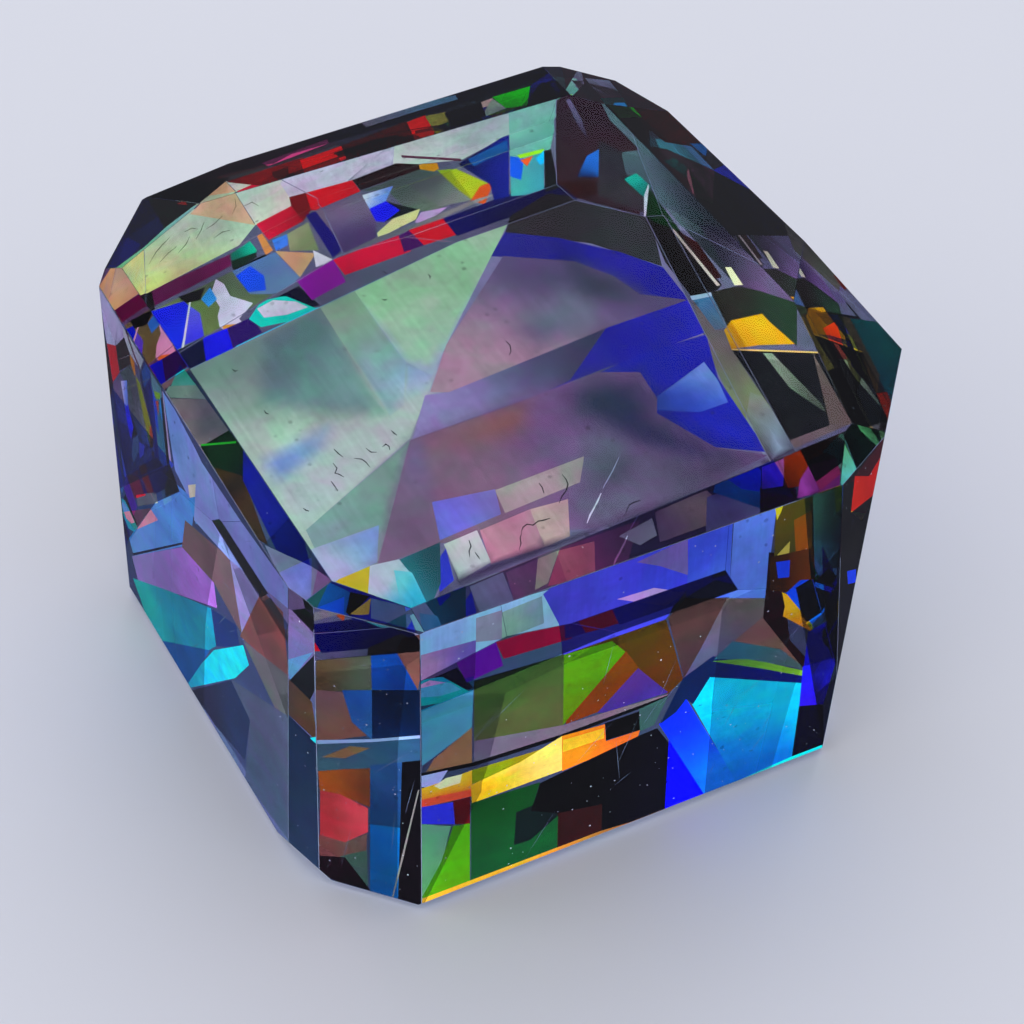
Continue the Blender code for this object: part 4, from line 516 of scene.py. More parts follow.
        ("narrow_cyan", "out", ((6.74, 9.88), (7.31, 10.47), (7.27, 9.84)), (25, 255, 255)),
    ],
    "wall_left": [
        ("side_base", "out", ((-8.15, 18.03), (10.97, 17.68), (9.46, 1.48), (-7.93, 0.8)), (60, 75, 120), (55, 70, 115), (1.1, 8), (7.8, 4.9)),
        ("side_lavender", "out", ((-8.14, 18.1), (-1.23, 17.66), (-0.95, 13.77), (-7.35, 12.94), (-7.96, 17.38)), (215, 205, 255), (200, 180, 230), (-6.9, 17.1), (-2.5, 15.1)),
        ("side_indigo", "out", ((-7.81, 12.85), (-0.68, 14.16), (-5.34, 8.4), (-8.14, 6.81)), (50, 80, 215), (40, 65, 190), (-6.2, 12.8), (-5.1, 9.6)),
        ("side_azure", "out", ((-1.23, 17.66), (-0.01, 17.68), (2.02, 17.2), (3.8, 16.55), (1.84, 13.25), (-0.62, 13.95)), (125, 170, 250), (150, 180, 255), (-0.6, 17.2), (1.7, 15.9)),
        ("side_pool", "out", ((-7.9, 6.83), (-2.44, 12.43), (1.45, 14.02), (0.41, 10.62), (-6.94, 3.55), (-7.81, 4.99)), (110, 175, 250), (95, 165, 255), (-7, 5.7), (-1.2, 10.4)),
        ("side_pink_mote", "out", ((-7.97, 5.33), (-4.16, 8.81), (-3.28, 8.87), (-6.44, 5.56)), (255, 170, 195)),
        ("side_blue_spot", "out", ((-2.6, 11.51), (-1.57, 12.6), (-1.3, 11.7), (-2.34, 10.53)), (115, 195, 255)),
        ("side_pale_spot", "out", ((-5.83, 8.16), (-3.2, 10.55), (-3.08, 10.03), (-5.71, 7.61)), (255, 255, 255)),
        ("side_pearl", "out", ((0.77, 14.28), (1.71, 15.12), (1.56, 14.12), (0.86, 13.53)), (255, 255, 215)),
        ("side_sky", "out", ((0.65, 13.46), (1.83, 14.57), (2.07, 13.45), (1.33, 12.6)), (70, 170, 255)),
        ("side_seam", "out", ((-7.03, 3.65), (0.21, 10.67), (0.19, 10.54), (-6.93, 3.58)), (25, 25, 65)),
        ("side_mauve", "out", ((-7.21, 3.3), (-0.58, 9.64), (2.88, 10.63), (3, 9.3), (-6.72, 2.25)), (160, 140, 215), (195, 130, 245), (-5.6, 4.2), (2, 9)),
        ("side_umber", "out", ((0.07, 11.74), (5.11, 13.88), (5.92, 10.13), (2.88, 10.63), (-0.58, 9.64)), (130, 100, 105), (115, 90, 100), (1.6, 11.7), (5, 10.7)),
        ("side_wash", "out", ((2.09, 16.99), (6.28, 17.06), (10.95, 17.45), (10.83, 16.17), (4.89, 13.69), (1.14, 12.65)), (160, 180, 255), (150, 165, 245), (3.2, 16.1), (9, 16.2)),
        ("side_lilac", "out", ((4.89, 13.69), (10.84, 16.29), (10.67, 14.52), (8.11, 14.91), (5.7, 9.92)), (155, 150, 210), (140, 130, 185), (5.8, 13.4), (9.3, 14.9)),
        ("side_red_brown", "out", ((8.11, 14.91), (10.13, 15.54), (10.34, 12), (5.39, 9.87)), (150, 80, 70), (125, 75, 75), (8.6, 14.3), (9, 11.9)),
        ("side_ash", "out", ((5.7, 9.92), (10.37, 12.24), (10.43, 9.93), (8.71, 8.83)), (100, 100, 105)),
        ("side_teal", "out", ((-7.39, 1.78), (-2.58, 5.27), (2.53, 8.81), (2.54, 6.64), (0.5, 4.21), (-1.8, -0.15), (-5.2, -0.15)), (10, 165, 200), (15, 205, 195), (-1.6, 4.4), (-6.2, 0.9)),
        ("side_navy", "out", ((2.3, 8.66), (5.03, 10.17), (5.31, 9.16), (2.54, 6.64)), (20, 50, 115)),
        ("side_deep", "out", ((-4.51, 0.48), (1.78, 5.7), (-1.8, -0.15)), (10, 95, 175)),
        ("side_cyan", "out", ((-1.92, -0.2), (0.67, 3.88), (2.26, 6.15), (5.66, 9.6), (6.17, 8.92), (4.48, 6.56)), (0, 205, 245), (10, 235, 245), (0.2, 2.4), (4.6, 7.8)),
        ("side_dusk", "out", ((-0.89, 0.72), (4, 5.98), (5.86, 5.36), (4.95, 2.01), (1.65, 0.96)), (30, 35, 65), (30, 50, 90), (1.3, 2.5), (4.5, 2.8)),
        ("side_slate", "out", ((4.01, 6.05), (10.03, 9.65), (9.46, 1.48), (4.78, 0.58), (5.86, 5.36)), (75, 85, 115), (65, 85, 115), (7, 6.5), (8.1, 2.7)),
    ],
    "table": [
        ("hair_a", "out", ((-7.31, -4.47), (-7.3, -4.69), (-7.23, -4.83), (-7.21, -4.81), (-7.24, -4.65), (-7.29, -4.46)), (70, 75, 85)),
        ("hair_b", "out", ((-9.78, -4.47), (-9.75, -4.75), (-9.66, -5.02), (-9.64, -5.01), (-9.7, -4.71), (-9.75, -4.45)), (70, 75, 85)),
        ("hair_c", "out", ((-10.15, -5.15), (-10.15, -5.46), (-10.34, -5.68), (-10.22, -5.82), (-10.11, -6.03), (-10.09, -6.02), (-10.18, -5.77), (-10.29, -5.68), (-10.1, -5.47), (-10.13, -5.14)), (70, 75, 85)),
        ("hair_d", "out", ((-8.64, -4.96), (-8.57, -5.26), (-8.35, -5.35), (-8.34, -5.32), (-8.53, -5.21), (-8.62, -4.94)), (70, 75, 85)),
        ("hair_e", "out", ((-9.3, -5.26), (-9.06, -5.46), (-9, -5.66), (-8.97, -5.97), (-8.95, -5.96), (-8.95, -5.64), (-9.02, -5.41), (-9.28, -5.24)), (70, 75, 85)),
        ("hair_f", "out", ((-8.04, -5.18), (-7.84, -5.12), (-7.8, -5.25), (-7.85, -5.45), (-7.83, -5.46), (-7.75, -5.23), (-7.82, -5.05), (-8.04, -5.16)), (70, 75, 85)),
        ("hair_g", "out", ((-10.66, -6.01), (-10.66, -6.26), (-10.65, -6.62), (-10.63, -6.61), (-10.61, -6.24), (-10.63, -6)), (70, 75, 85)),
        ("hair_h", "out", ((-2.48, -9.54), (-2.49, -9.85), (-2.55, -10.11), (-2.79, -10.4), (-3.06, -10.57), (-3.34, -10.87), (-3.33, -10.89), (-3.04, -10.62), (-2.77, -10.45), (-2.5, -10.13), (-2.44, -9.84), (-2.46, -9.53)), (70, 75, 85)),
        ("hair_i", "out", ((-3.52, -9.59), (-3.53, -9.83), (-3.61, -10.15), (-3.58, -10.15), (-3.48, -9.83), (-3.49, -9.58)), (70, 75, 85)),
        ("hair_j", "out", ((-5.38, -11.63), (-5.18, -11.44), (-4.99, -11.37), (-4.81, -11.52), (-4.53, -11.41), (-4.31, -11.47), (-4.04, -11.46), (-4.03, -11.43), (-4.28, -11.4), (-4.52, -11.35), (-4.79, -11.46), (-4.97, -11.31), (-5.2, -11.39), (-5.39, -11.61)), (70, 75, 85)),
        ("hair_k", "out", ((-5.36, -11.63), (-5.59, -11.87), (-5.68, -12.12), (-5.91, -12.42), (-5.9, -12.43), (-5.64, -12.14), (-5.55, -11.89), (-5.35, -11.64)), (70, 75, 85)),
        ("hair_l", "out", ((-7.37, -11.13), (-7.46, -11.44), (-7.64, -11.63), (-7.75, -11.94), (-7.73, -11.94), (-7.6, -11.66), (-7.41, -11.46), (-7.34, -11.13)), (70, 75, 85)),
        ("hair_m", "out", ((-7.46, -11.8), (-7.47, -12.04), (-7.46, -12.2), (-7.44, -12.2), (-7.42, -12.02), (-7.43, -11.79)), (70, 75, 85)),
        ("hair_n", "out", ((-1.26, -12.44), (-0.97, -12.17), (-0.73, -12.12), (-0.43, -12.13), (-0.42, -12.1), (-0.72, -12.06), (-0.98, -12.12), (-1.27, -12.42)), (70, 75, 85)),
        ("hair_o", "out", ((-0.81, -1.83), (-0.79, -2.11), (-0.92, -2.43), (-1.09, -2.61), (-1.08, -2.63), (-0.88, -2.45), (-0.74, -2.1), (-0.78, -1.82)), (70, 75, 85)),
        ("hair_p", "out", ((-3.38, 4.18), (-3.32, 4.06), (-3.28, 3.93), (-3.26, 3.94), (-3.26, 4.11), (-3.36, 4.21)), (70, 75, 85)),
        ("hair_q", "out", ((-4.16, 2.61), (-4.09, 2.49), (-3.97, 2.52), (-3.97, 2.56), (-4.05, 2.55), (-4.14, 2.64)), (70, 75, 85)),
        ("hair_r", "out", ((-1.76, 3.2), (-1.76, 3.06), (-1.83, 2.9), (-1.81, 2.89), (-1.7, 3.06), (-1.74, 3.22)), (70, 75, 85)),
        ("hair_s", "out", ((-11.41, 1.41), (-11.36, 1.23), (-11.22, 1.25), (-11.21, 1.28), (-11.33, 1.3), (-11.39, 1.43)), (70, 75, 85)),
        ("hair_t", "out", ((-11.28, -1.29), (-11.3, -1.49), (-11.2, -1.59), (-11.18, -1.56), (-11.24, -1.46), (-11.26, -1.28)), (70, 75, 85)),
        ("hair_u", "out", ((-12.25, -6.87), (-12.21, -7.03), (-12.11, -7.12), (-12.09, -7.09), (-12.16, -6.98), (-12.23, -6.85)), (70, 75, 85)),
        ("hair_crack_0", "out", ((-11.8, 8.7), (-11.23, 9.26), (-10.77, 9.6), (-10.33, 9.9), (-10.33, 9.92), (-10.78, 9.65), (-11.25, 9.3), (-11.81, 8.71)), (150, 155, 140)),
        ("hair_crack_1", "out", ((-11.34, 8.62), (-10.82, 8.98), (-10.37, 9.21), (-10.37, 9.23), (-10.82, 9.03), (-11.35, 8.64)), (150, 155, 140)),
        ("hair_crack_2", "out", ((-10.45, 8.82), (-9.91, 9.19), (-9.56, 9.61), (-9.57, 9.62), (-9.93, 9.24), (-10.45, 8.84)), (150, 155, 140)),
        ("hair_crack_3", "out", ((-9.41, 9.32), (-8.98, 9.75), (-8.66, 10.18), (-8.67, 10.2), (-9, 9.79), (-9.42, 9.34)), (150, 155, 140)),
        ("hair_crack_4", "out", ((-8.78, 9.73), (-8.34, 9.87), (-7.83, 10.21), (-7.83, 10.24), (-8.35, 9.92), (-8.78, 9.75)), (150, 155, 140)),
        ("hair_crack_5", "out", ((-7.39, 10.16), (-7.02, 10.56), (-6.84, 11.07), (-6.86, 11.07), (-7.04, 10.58), (-7.4, 10.17)), (150, 155, 140)),
        ("hair_crack_6", "out", ((-6.73, 10.41), (-6.33, 10.5), (-6.17, 10.15), (-6.15, 10.17), (-6.3, 10.55), (-6.73, 10.44)), (150, 155, 140)),
        ("hair_crack_8", "out", ((-9.68, 9.94), (-9.28, 10.02), (-9.08, 9.87), (-9.07, 9.89), (-9.27, 10.08), (-9.68, 9.97)), (150, 155, 140)),
        ("hair_crack_9", "out", ((-8.72, 9.06), (-8.26, 9.25), (-7.91, 9.24), (-7.9, 9.27), (-8.26, 9.31), (-8.72, 9.08)), (150, 155, 140)),
    ],
}

# patches with a soft edge, and how wide that edge is in millimetres; most are painted caustic glows and shadows on the
# base
SOFT = {
    "cream_glow": 0.5,
    "white_band_mid": 0.6,
    "base_violet_glow": 2.0,
    "base_violet_dark": 1.5,
    "base_shadow": 2.6,
    "base_glow": 2.0,
    "base_blue_glow": 0.9,
    "base_blue_streak": 0.9,
    "base_rust": 1.8,
    "base_plum": 1.8,
    "base_band_dark": 1.2,
    "base_grey_right": 1.2,
    "base_left_mauve": 0.8,
    "base_rim": 0.35,
    "base_grey_left": 1.2,
    "base_mint": 1.2,
}

# each facet's plain painted shade and coating tint where no patch lies: (colour in through it, colour of its back)
PLAIN_SHADE_AND_TINT = {
    "other": ((150, 165, 200), (105, 108, 130)),
    "base": ((250, 250, 255), (150, 145, 180)),
    "table": ((250, 250, 255), (250, 250, 255)),
    "wall_front": ((60, 70, 100), (150, 160, 190)),
    "wall_front_left": ((55, 75, 105), (150, 160, 190)),
    "wall_left": ((90, 105, 150), (140, 150, 180)),
    "wall_left_narrow": ((90, 100, 145), (170, 180, 210)),
    "crown_front": ((75, 70, 135), (170, 170, 200)),
    "crown_front_left": ((80, 90, 140), (170, 170, 200)),
    "crown_left": ((90, 100, 150), (170, 170, 200)),
    "crown_right": ((62, 66, 76), (150, 150, 165)),
    "crown_right_near": ((60, 62, 72), (150, 150, 165)),
    "crown_back": ((62, 62, 72), (150, 150, 165)),
    "crown_back_right": ((58, 58, 68), (150, 150, 165)),
    "crown_back_left": ((150, 160, 150), (180, 180, 190)),
    "crown_front_right": ((60, 80, 110), (150, 150, 165)),
    "wall_front_right": ((62, 60, 58), (150, 150, 150)),
    "wall_right_near": ((60, 62, 70), (150, 150, 150)),
}

# facets whose front takes a mirrored copy of another's outer coat and painted light
LIKE = {
    "back_left_upper": "wall_front", "back_left_band": "wall_front", "back_left_lower": "wall_front",
    "back_upper": "wall_front", "back_band": "wall_front", "back_lower": "wall_front",
    "back_right_upper": "wall_left", "back_right_band": "wall_left", "back_right_lower": "wall_left",
    "right_upper": "wall_left", "right_lower": "wall_left",
    "wall_back_left_corner": "wall_front_left", "wall_right_near": "wall_front_left",
}

# fine wear, strewn evenly: facet -> (specks of dust, hair scratches)
WEAR = {
    "wall_front": (150, 26), "wall_front_left": (60, 12), "wall_left": (60, 10),
    "wall_left_narrow": (20, 3), "wall_front_right": (20, 2), "wall_right_near": (30, 4),
    "crown_front": (24, 3), "crown_left": (16, 2), "crown_right_near": (16, 3),
    "back_left_lower": (50, 8), "back_lower": (50, 8), "back_right_lower": (50, 8),
    "right_lower": (50, 8), "wall_back_left_corner": (20, 3),
}
DUST, SCRATCH = (205, 212, 228), (120, 135, 165)

INSET = 0.012     # gap in millimetres between a patch and the facet's edge
EDGE = 0.014      # width in millimetres of the worn edge between two facets


def axes(name):
    n = direction(*FACETS[name])
    u = Vector((1, 0, 0)) if abs(n.z) > 0.98 else Vector((0, 0, 1)).cross(n)
    u = (u - n * u.dot(n)).normalized()
    return u, n.cross(u), n


def film(colour):
    """What share of the red, green and blue light a coat of this sRGB colour passes or returns."""
    c = np.asarray(colour, float) / 255.0
    return np.where(c <= 0.04045, c / 12.92, ((c + 0.055) / 1.055) ** 2.4)


# ------------------------------------------------------------------ outlines in the plane
def within(shape, pts):
    x, y = pts[:, 0], pts[:, 1]
    inside = np.zeros(len(pts), bool)
    for (x1, y1), (x2, y2) in zip(shape, np.roll(shape, -1, 0)):
        if y1 != y2:
            inside ^= ((y1 > y) != (y2 > y)) & (x < (x2 - x1) * (y - y1) / (y2 - y1) + x1)
    return inside


def edge_distance(shape, pts):
    best = np.full(len(pts), 1e9)
    for a, b in zip(shape, np.roll(shape, -1, 0)):
        d = b - a
        t = np.clip(((pts - a) @ d) / max(d @ d, 1e-12), 0, 1)
        best = np.minimum(best, np.linalg.norm(pts - a - t[:, None] * d, axis=1))
    return best


def clipped(shape, outline, inset):
    """shape cut to a convex outline (counter-clockwise), kept inset from its edge."""
    pts = [tuple(p) for p in shape]
    for a, b in zip(outline, np.roll(outline, -1, 0)):
        d = (b - a) / np.linalg.norm(b - a)
        left = np.array((-d[1], d[0]))
        side = [float((np.array(p) - a) @ left) - inset for p in pts]
        kept = []
        for i, p in enumerate(pts):
            q, s, t = pts[(i + 1) % len(pts)], side[i], side[(i + 1) % len(pts)]
            if s >= 0:
                kept.append(p)
            if (s > 0) != (t > 0) and abs(s - t) > 1e-9:
                k = s / (s - t)
                kept.append((p[0] + (q[0] - p[0]) * k, p[1] + (q[1] - p[1]) * k))
        pts = kept
        if len(pts) < 3:
            return None
    tidy = []
    for p in pts:
        if not tidy or math.dist(p, tidy[-1]) > 0.004:
            tidy.append(p)
    while len(tidy) > 2 and math.dist(tidy[0], tidy[-1]) <= 0.004:
        tidy.pop()
    return tidy if len(tidy) > 2 else None


def wear(name, outline):
    """Dust specks and thin scratches as small patches, at random places that never change."""
    rng = np.random.default_rng(1000 + sorted(FACETS).index(name))
    specks, scratches = WEAR.get(name, (0, 0))
    low, high = outline.min(0), outline.max(0)
    rows = []
    for _ in range(specks):
        at = low + (high - low) * rng.random(2)
        r = 0.018 + 0.03 * rng.random() ** 3
        turn = rng.random() * math.tau + np.arange(5) * math.tau / 5
        size = r * (0.7 + 0.5 * rng.random(5))
        rows.append(("dust", "out", at + np.stack((np.cos(turn), np.sin(turn)), 1) * size[:, None],
                     DUST, []))
    for _ in range(scratches):
        at = low + (high - low) * rng.random(2)
        lean = math.radians(52 + 16 * rng.standard_normal())
        along = np.array((math.cos(lean), math.sin(lean))) * (0.3 + 1.3 * rng.random())
        across = np.array((-along[1], along[0])) / np.linalg.norm(along) * 0.009
        rows.append(("scratch", "out", np.array((at - along, at + across, at + along, at - across)),
                     SCRATCH, []))
    return [row for row in rows if within(outline, row[2]).all()]


# ------------------------------------------------------------------ stone
def cut_stone():
    """The part's own facets as clean faces, with every edge worn a few hundredths round."""
    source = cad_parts["gemstone"]
    at = np.array([source.matrix_world @ v.co for v in source.data.vertices])
    bm = bmesh.new()
    points = [bm.verts.new(p) for p in at]
    for poly in source.data.polygons:
        bm.faces.new([points[i] for i in poly.vertices])
    bmesh.ops.remove_doubles(bm, verts=bm.verts[:], dist=1e-6)
    bmesh.ops.recalc_face_normals(bm, faces=bm.faces[:])
    bmesh.ops.dissolve_limit(bm, angle_limit=math.radians(0.3), verts=bm.verts[:], edges=bm.edges[:])
    planes = {}
    for face in bm.faces:
        name = max(FACETS, key=lambda k: face.normal.dot(direction(*FACETS[k])))
        n = direction(*FACETS[name])
        planes[name] = sum(n.dot(v.co) for v in face.verts) / len(face.verts) / MM
    sharp = [e for e in bm.edges if e.calc_face_angle(0) > math.radians(8)]
    bmesh.ops.bevel(bm, geom=sharp, offset=EDGE * MM, segments=1, profile=0.5,
                    affect="EDGES", clamp_overlap=True)
    return bm, planes


def build_stone():
    bm, planes = cut_stone()
    bm.verts.index_update()
    verts = [np.array(v.co) / MM for v in bm.verts]
    faces, painted_light_and_wear = [], []
    white = np.ones(3)
    # the worn edge strips take a dark grey-blue tint: painted shade that dims their glints
    worn = film((140, 150, 175))
    found = set()
    for face in bm.faces:
        ring = [v.index for v in face.verts]
        name = max(planes, key=lambda k: face.normal.dot(direction(*FACETS[k])))
        u, v, n = axes(name)
        flat = face.normal.dot(n) > math.cos(math.radians(0.1)) and \
            max(abs(n.dot(c.co) / MM - planes[name]) for c in face.verts) < 0.002
        if not flat or name in found:
            faces.append(ring)
            painted_light_and_wear.append([(worn,) * 3] * len(ring))
            continue
        found.add(name)
        u, v, n = (np.array(a) for a in (u, v, n))
        outline = np.array([(verts[i] @ u, verts[i] @ v) for i in ring])
        rows = []
        if name in LIKE:                                 # the same coat and painted light, the other way round
            turn = np.array((-1.0, 1.0))
            for label, side, shape, colour, *shade in PAINTED_LIGHT_AND_MARKS[LIKE[name]]:
                if side == "out":
                    if shade:
                        shade = [shade[0], turn * shade[1], turn * shade[2]]
                    rows.append((label, side, np.array(shape, float) * turn, colour, shade))
        for label, side, shape, colour, *shade in PAINTED_LIGHT_AND_MARKS.get(name, ()):
            rows.append((label, side, np.array(shape, float), colour, shade))
        rows += wear(name, outline)
        coords = [tuple(p) for p in outline]
        cuts = [(i, (i + 1) % len(ring)) for i in range(len(ring))]
        for label, side, shape, colour, shade in rows:
            part = clipped(shape, outline, INSET)
            if part is None or label in SOFT:
                continue
            first = len(coords)
            coords += part
            cuts += [(first + i, first + (i + 1) % len(part)) for i in range(len(part))]
        pitch = 0.45 if name == "base" else 0.7
        low, high = outline.min(0), outline.max(0)
        grid = np.array([(x, y) for x in np.arange(low[0], high[0], pitch)
                         for y in np.arange(low[1], high[1], pitch)])
        if len(grid):
            grid = grid[within(outline, grid)]
            grid = grid[edge_distance(outline, grid) > 0.2]
            coords += [tuple(p) for p in grid]
        new, _, tris, source_of, _, _ = delaunay_2d_cdt(
            [Vector(c) for c in coords], cuts, [], 0, 1e-4, True)
        new = np.array([tuple(c) for c in new])
        place = {}
        for i, origin in enumerate(source_of):
            on_ring = [o for o in origin if o < len(ring)]
            if on_ring:
                place[i] = ring[on_ring[0]]
            else:
                place[i] = len(verts)
                verts.append(u * new[i, 0] + v * new[i, 1] + n * planes[name])
        tris = np.array([t for t in tris if len({place[i] for i in t}) == 3])
        corners = new[tris]
        mid = corners.mean(1)
        span = corners[:, 1] - corners[:, 0], corners[:, 2] - corners[:, 0]
        turned = span[0][:, 0] * span[1][:, 1] - span[0][:, 1] * span[1][:, 0] < 0
        plain = PLAIN_SHADE_AND_TINT.get(name, PLAIN_SHADE_AND_TINT["other"])
        shown = {"out": np.tile(film(plain[0]), (len(tris), 3, 1)),
                 "in": np.tile(film(plain[1]), (len(tris), 3, 1))}
        flatc = corners.reshape(-1, 2)
        # each patch paints its colour over the facet's plain shade: painted light, or a real mark such as dust,
        # scratches and the table's hairs
        for label, side, shape, colour, shade in rows:
            if shade:
                a, b = np.array(shade[1], float), np.array(shade[2], float)
                t = np.clip(((flatc - a) @ (b - a)) / max((b - a) @ (b - a), 1e-9), 0, 1)
                t = (t * t * (3 - 2 * t)).reshape(-1, 3, 1)
                ends = np.asarray(colour, float), np.asarray(shade[0], float)
                tone = film(ends[0] + (ends[1] - ends[0]) * t)
            else:
                tone = np.tile(film(colour), (len(tris), 3, 1))
            if label in SOFT:
                depth = edge_distance(shape, flatc) * np.where(within(shape, flatc), 1, -1)
                w = np.clip(depth / SOFT[label] + 0.5, 0, 1)
                w = (w * w * (3 - 2 * w)).reshape(-1, 3, 1)
                shown[side] = shown[side] * (1 - w) + tone * w
            else:
                hit = within(shape, mid)
                shown[side][hit] = tone[hit]
        mirrored = name != "base"                        # light meets the base steeply and goes
        passed = name == "base" or name.startswith("bevel")  # through, and meets the walls flat
        for t, tri in enumerate(tris):
            order = (0, 2, 1) if turned[t] else (0, 1, 2)
            faces.append([place[tri[i]] for i in order])
            painted_light_and_wear.append([(shown["out"][t, i], shown["in"][t, i] if mirrored else white,
                           shown["in"][t, i] if passed else white) for i in order])
    bm.free()
    missing = set(FACETS) - found
    print("facets cut:", len(found), "missing:", sorted(missing), "faces:", len(faces))
    mesh = bpy.data.meshes.new("stone")
    mesh.from_pydata([tuple(p * MM) for p in verts], [], faces)
    # three colour layers of painted light and wear: in through each facet, mirrored inside it, passed through it
    for label, which in (("painted_light_and_wear_out", 0), ("painted_light_mirror", 1), ("painted_light_through", 2)):
        layer = mesh.color_attributes.new(label, "FLOAT_COLOR", "CORNER")
        data = np.ones((len(mesh.loops), 4), np.float32)
        data[:, :3] = [f[which] for ring in painted_light_and_wear for f in ring]
        layer.data.foreach_set("color", data.ravel())
    mesh.polygons.foreach_set("use_smooth", [False] * len(mesh.polygons))
    mesh.update()
    check = bmesh.new()
    check.from_mesh(mesh)
    loose = [e for e in check.edges if len(e.link_faces) != 2]
    print("open edges:", len(loose), "volume cm3:", round(check.calc_volume() * 1e6, 3))
    check.free()
    return mesh


stone = bpy.data.objects.new("stone", build_stone())
bpy.context.scene.collection.objects.link(stone)
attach(stone, "root")
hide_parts("gemstone")


# ------------------------------------------------------------------ materials
def blank(name):
    m = bpy.data.materials.new(name)
    m.use_nodes = True
    nt = m.node_tree
    nt.nodes.clear()
    return m, nt


def node(nt, kind, **values):
    n = nt.nodes.new("ShaderNode" + kind)
    for key, value in values.items():
        setattr(n, key, value)
    return n


def maths(nt, operation, a, b=None, clamp=False):
    n = node(nt, "Math", operation=operation, use_clamp=clamp)
    for i, x in enumerate((a, b)):
        if x is None:
            continue
        if isinstance(x, (int, float)):
            n.inputs[i].default_value = x
        else:
            nt.links.new(x, n.inputs[i])
    return n.outputs[0]


def mixed(nt, factor, a, b, blend="MIX"):
    n = node(nt, "Mix", data_type="RGBA", blend_type=blend)
    for socket, x in ((n.inputs["Factor"], factor), (n.inputs[6], a), (n.inputs[7], b)):
        if isinstance(x, (int, float)):
            socket.default_value = x
        elif isinstance(x, tuple):
            socket.default_value = (*x, 1)
        else:
            nt.links.new(x, socket)
    return n.outputs[2]


def noise(nt, where, scale, detail=2.0, rough=0.5, distortion=0.0):
    n = node(nt, "TexNoise")
    n.inputs["Scale"].default_value = scale
    n.inputs["Detail"].default_value = detail
    n.inputs["Roughness"].default_value = rough
    n.inputs["Distortion"].default_value = distortion
    nt.links.new(where, n.inputs["Vector"])
    return n.outputs["Fac"]


def stretched(nt, where, scale, turn=(0, 0, 0)):
    n = node(nt, "Mapping")
    n.inputs["Scale"].default_value = scale
    n.inputs["Rotation"].default_value = turn
    nt.links.new(where, n.inputs["Vector"])
    return n.outputs[0]


def above(nt, value, low, high):
    n = node(nt, "MapRange")
    n.inputs["From Min"].default_value = low
    n.inputs["From Max"].default_value = high
    nt.links.new(value, n.inputs["Value"])
    return n.outputs[0]


topaz, nt = blank("topaz")
where = node(nt, "TexCoord").outputs["Object"]
# the painted light and wear, read back from the mesh
outer = node(nt, "Attribute", attribute_name="painted_light_and_wear_out").outputs["Color"]
mirror = node(nt, "Attribute", attribute_name="painted_light_mirror").outputs["Color"]
through = node(nt, "Attribute", attribute_name="painted_light_through").outputs["Color"]
back = node(nt, "NewGeometry").outputs["Backfacing"]
depth = node(nt, "LightPath").outputs["Ray Depth"]

# the coating lies unevenly: slow clouding, fine grain, and hair lines from the polishing
cloud = noise(nt, where, 260.0, 2.0, 0.55, 0.5)
grain = noise(nt, where, 2300.0, 1.0, 0.6)
brush = noise(nt, stretched(nt, where, (5200.0, 260.0, 420.0), (0.2, 0.1, 0.5)), 1.0, 1.0, 0.5)
uneven = maths(nt, "ADD", maths(nt, "MULTIPLY", above(nt, cloud, 0.3, 0.7), 0.26),
               maths(nt, "ADD", maths(nt, "MULTIPLY", above(nt, brush, 0.3, 0.7), 0.06),
                     maths(nt, "MULTIPLY", above(nt, grain, 0.3, 0.7), 0.06)))
uneven = maths(nt, "ADD", uneven, 0.80)
# dust and pits: tiny dark specks, a few to the square centimetre
speck = node(nt, "TexVoronoi", feature="F1")
speck.inputs["Scale"].default_value = 1100.0
nt.links.new(where, speck.inputs["Vector"])
pit = maths(nt, "MULTIPLY", above(nt, speck.outputs["Distance"], 0.15, 0.08),
            above(nt, cloud, 0.50, 0.62))
level = maths(nt, "SUBTRACT", uneven, maths(nt, "MULTIPLY", pit, 0.40))


# and its colour drifts a little with its thickness
drift = noise(nt, where, 620.0, 1.0, 0.5, 0.8)
hue = mixed(nt, above(nt, drift, 0.36, 0.64), (1.0, 0.90, 1.0), (0.90, 1.0, 0.96))


def toned(colour):
    n = node(nt, "VectorMath", operation="SCALE")
    nt.links.new(mixed(nt, 1.0, colour, hue, "MULTIPLY"), n.inputs[0])
    nt.links.new(level, n.inputs["Scale"])
    return n.outputs[0]


# light passing through a facet takes its painted colours, and light mirrored inside takes those of its back
bends = node(nt, "BsdfRefraction")
bends.inputs["IOR"].default_value = 1.609
bends.inputs["Roughness"].default_value = 0.0
nt.links.new(toned(mixed(nt, back, outer, through)), bends.inputs["Color"])
share = node(nt, "Fresnel")
share.inputs["IOR"].default_value = 1.609
# the coat stops weak reflections from inside, and leaves the total ones
whole_mirror = mixed(nt, above(nt, share.outputs[0], 0.4, 0.95), (0.12, 0.12, 0.12), (1, 1, 1))
shines = node(nt, "BsdfGlossy")
shines.inputs["Roughness"].default_value = 0.0
nt.links.new(mixed(nt, back, (0.12, 0.12, 0.14), mixed(nt, 1.0, toned(mirror), whole_mirror, "MULTIPLY")),
             shines.inputs["Color"])
skin = node(nt, "MixShader")
nt.links.new(share.outputs[0], skin.inputs[0])
nt.links.new(bends.outputs[0], skin.inputs[1])
nt.links.new(shines.outputs[0], skin.inputs[2])
# deep in the stone, after two meetings with its faces, it is plain clear crystal with no painted colour
clear = node(nt, "BsdfGlass")
clear.inputs["IOR"].default_value = 1.609
clear.inputs["Roughness"].default_value = 0.0
clear.inputs["Color"].default_value = (0.985, 0.985, 1.0, 1)
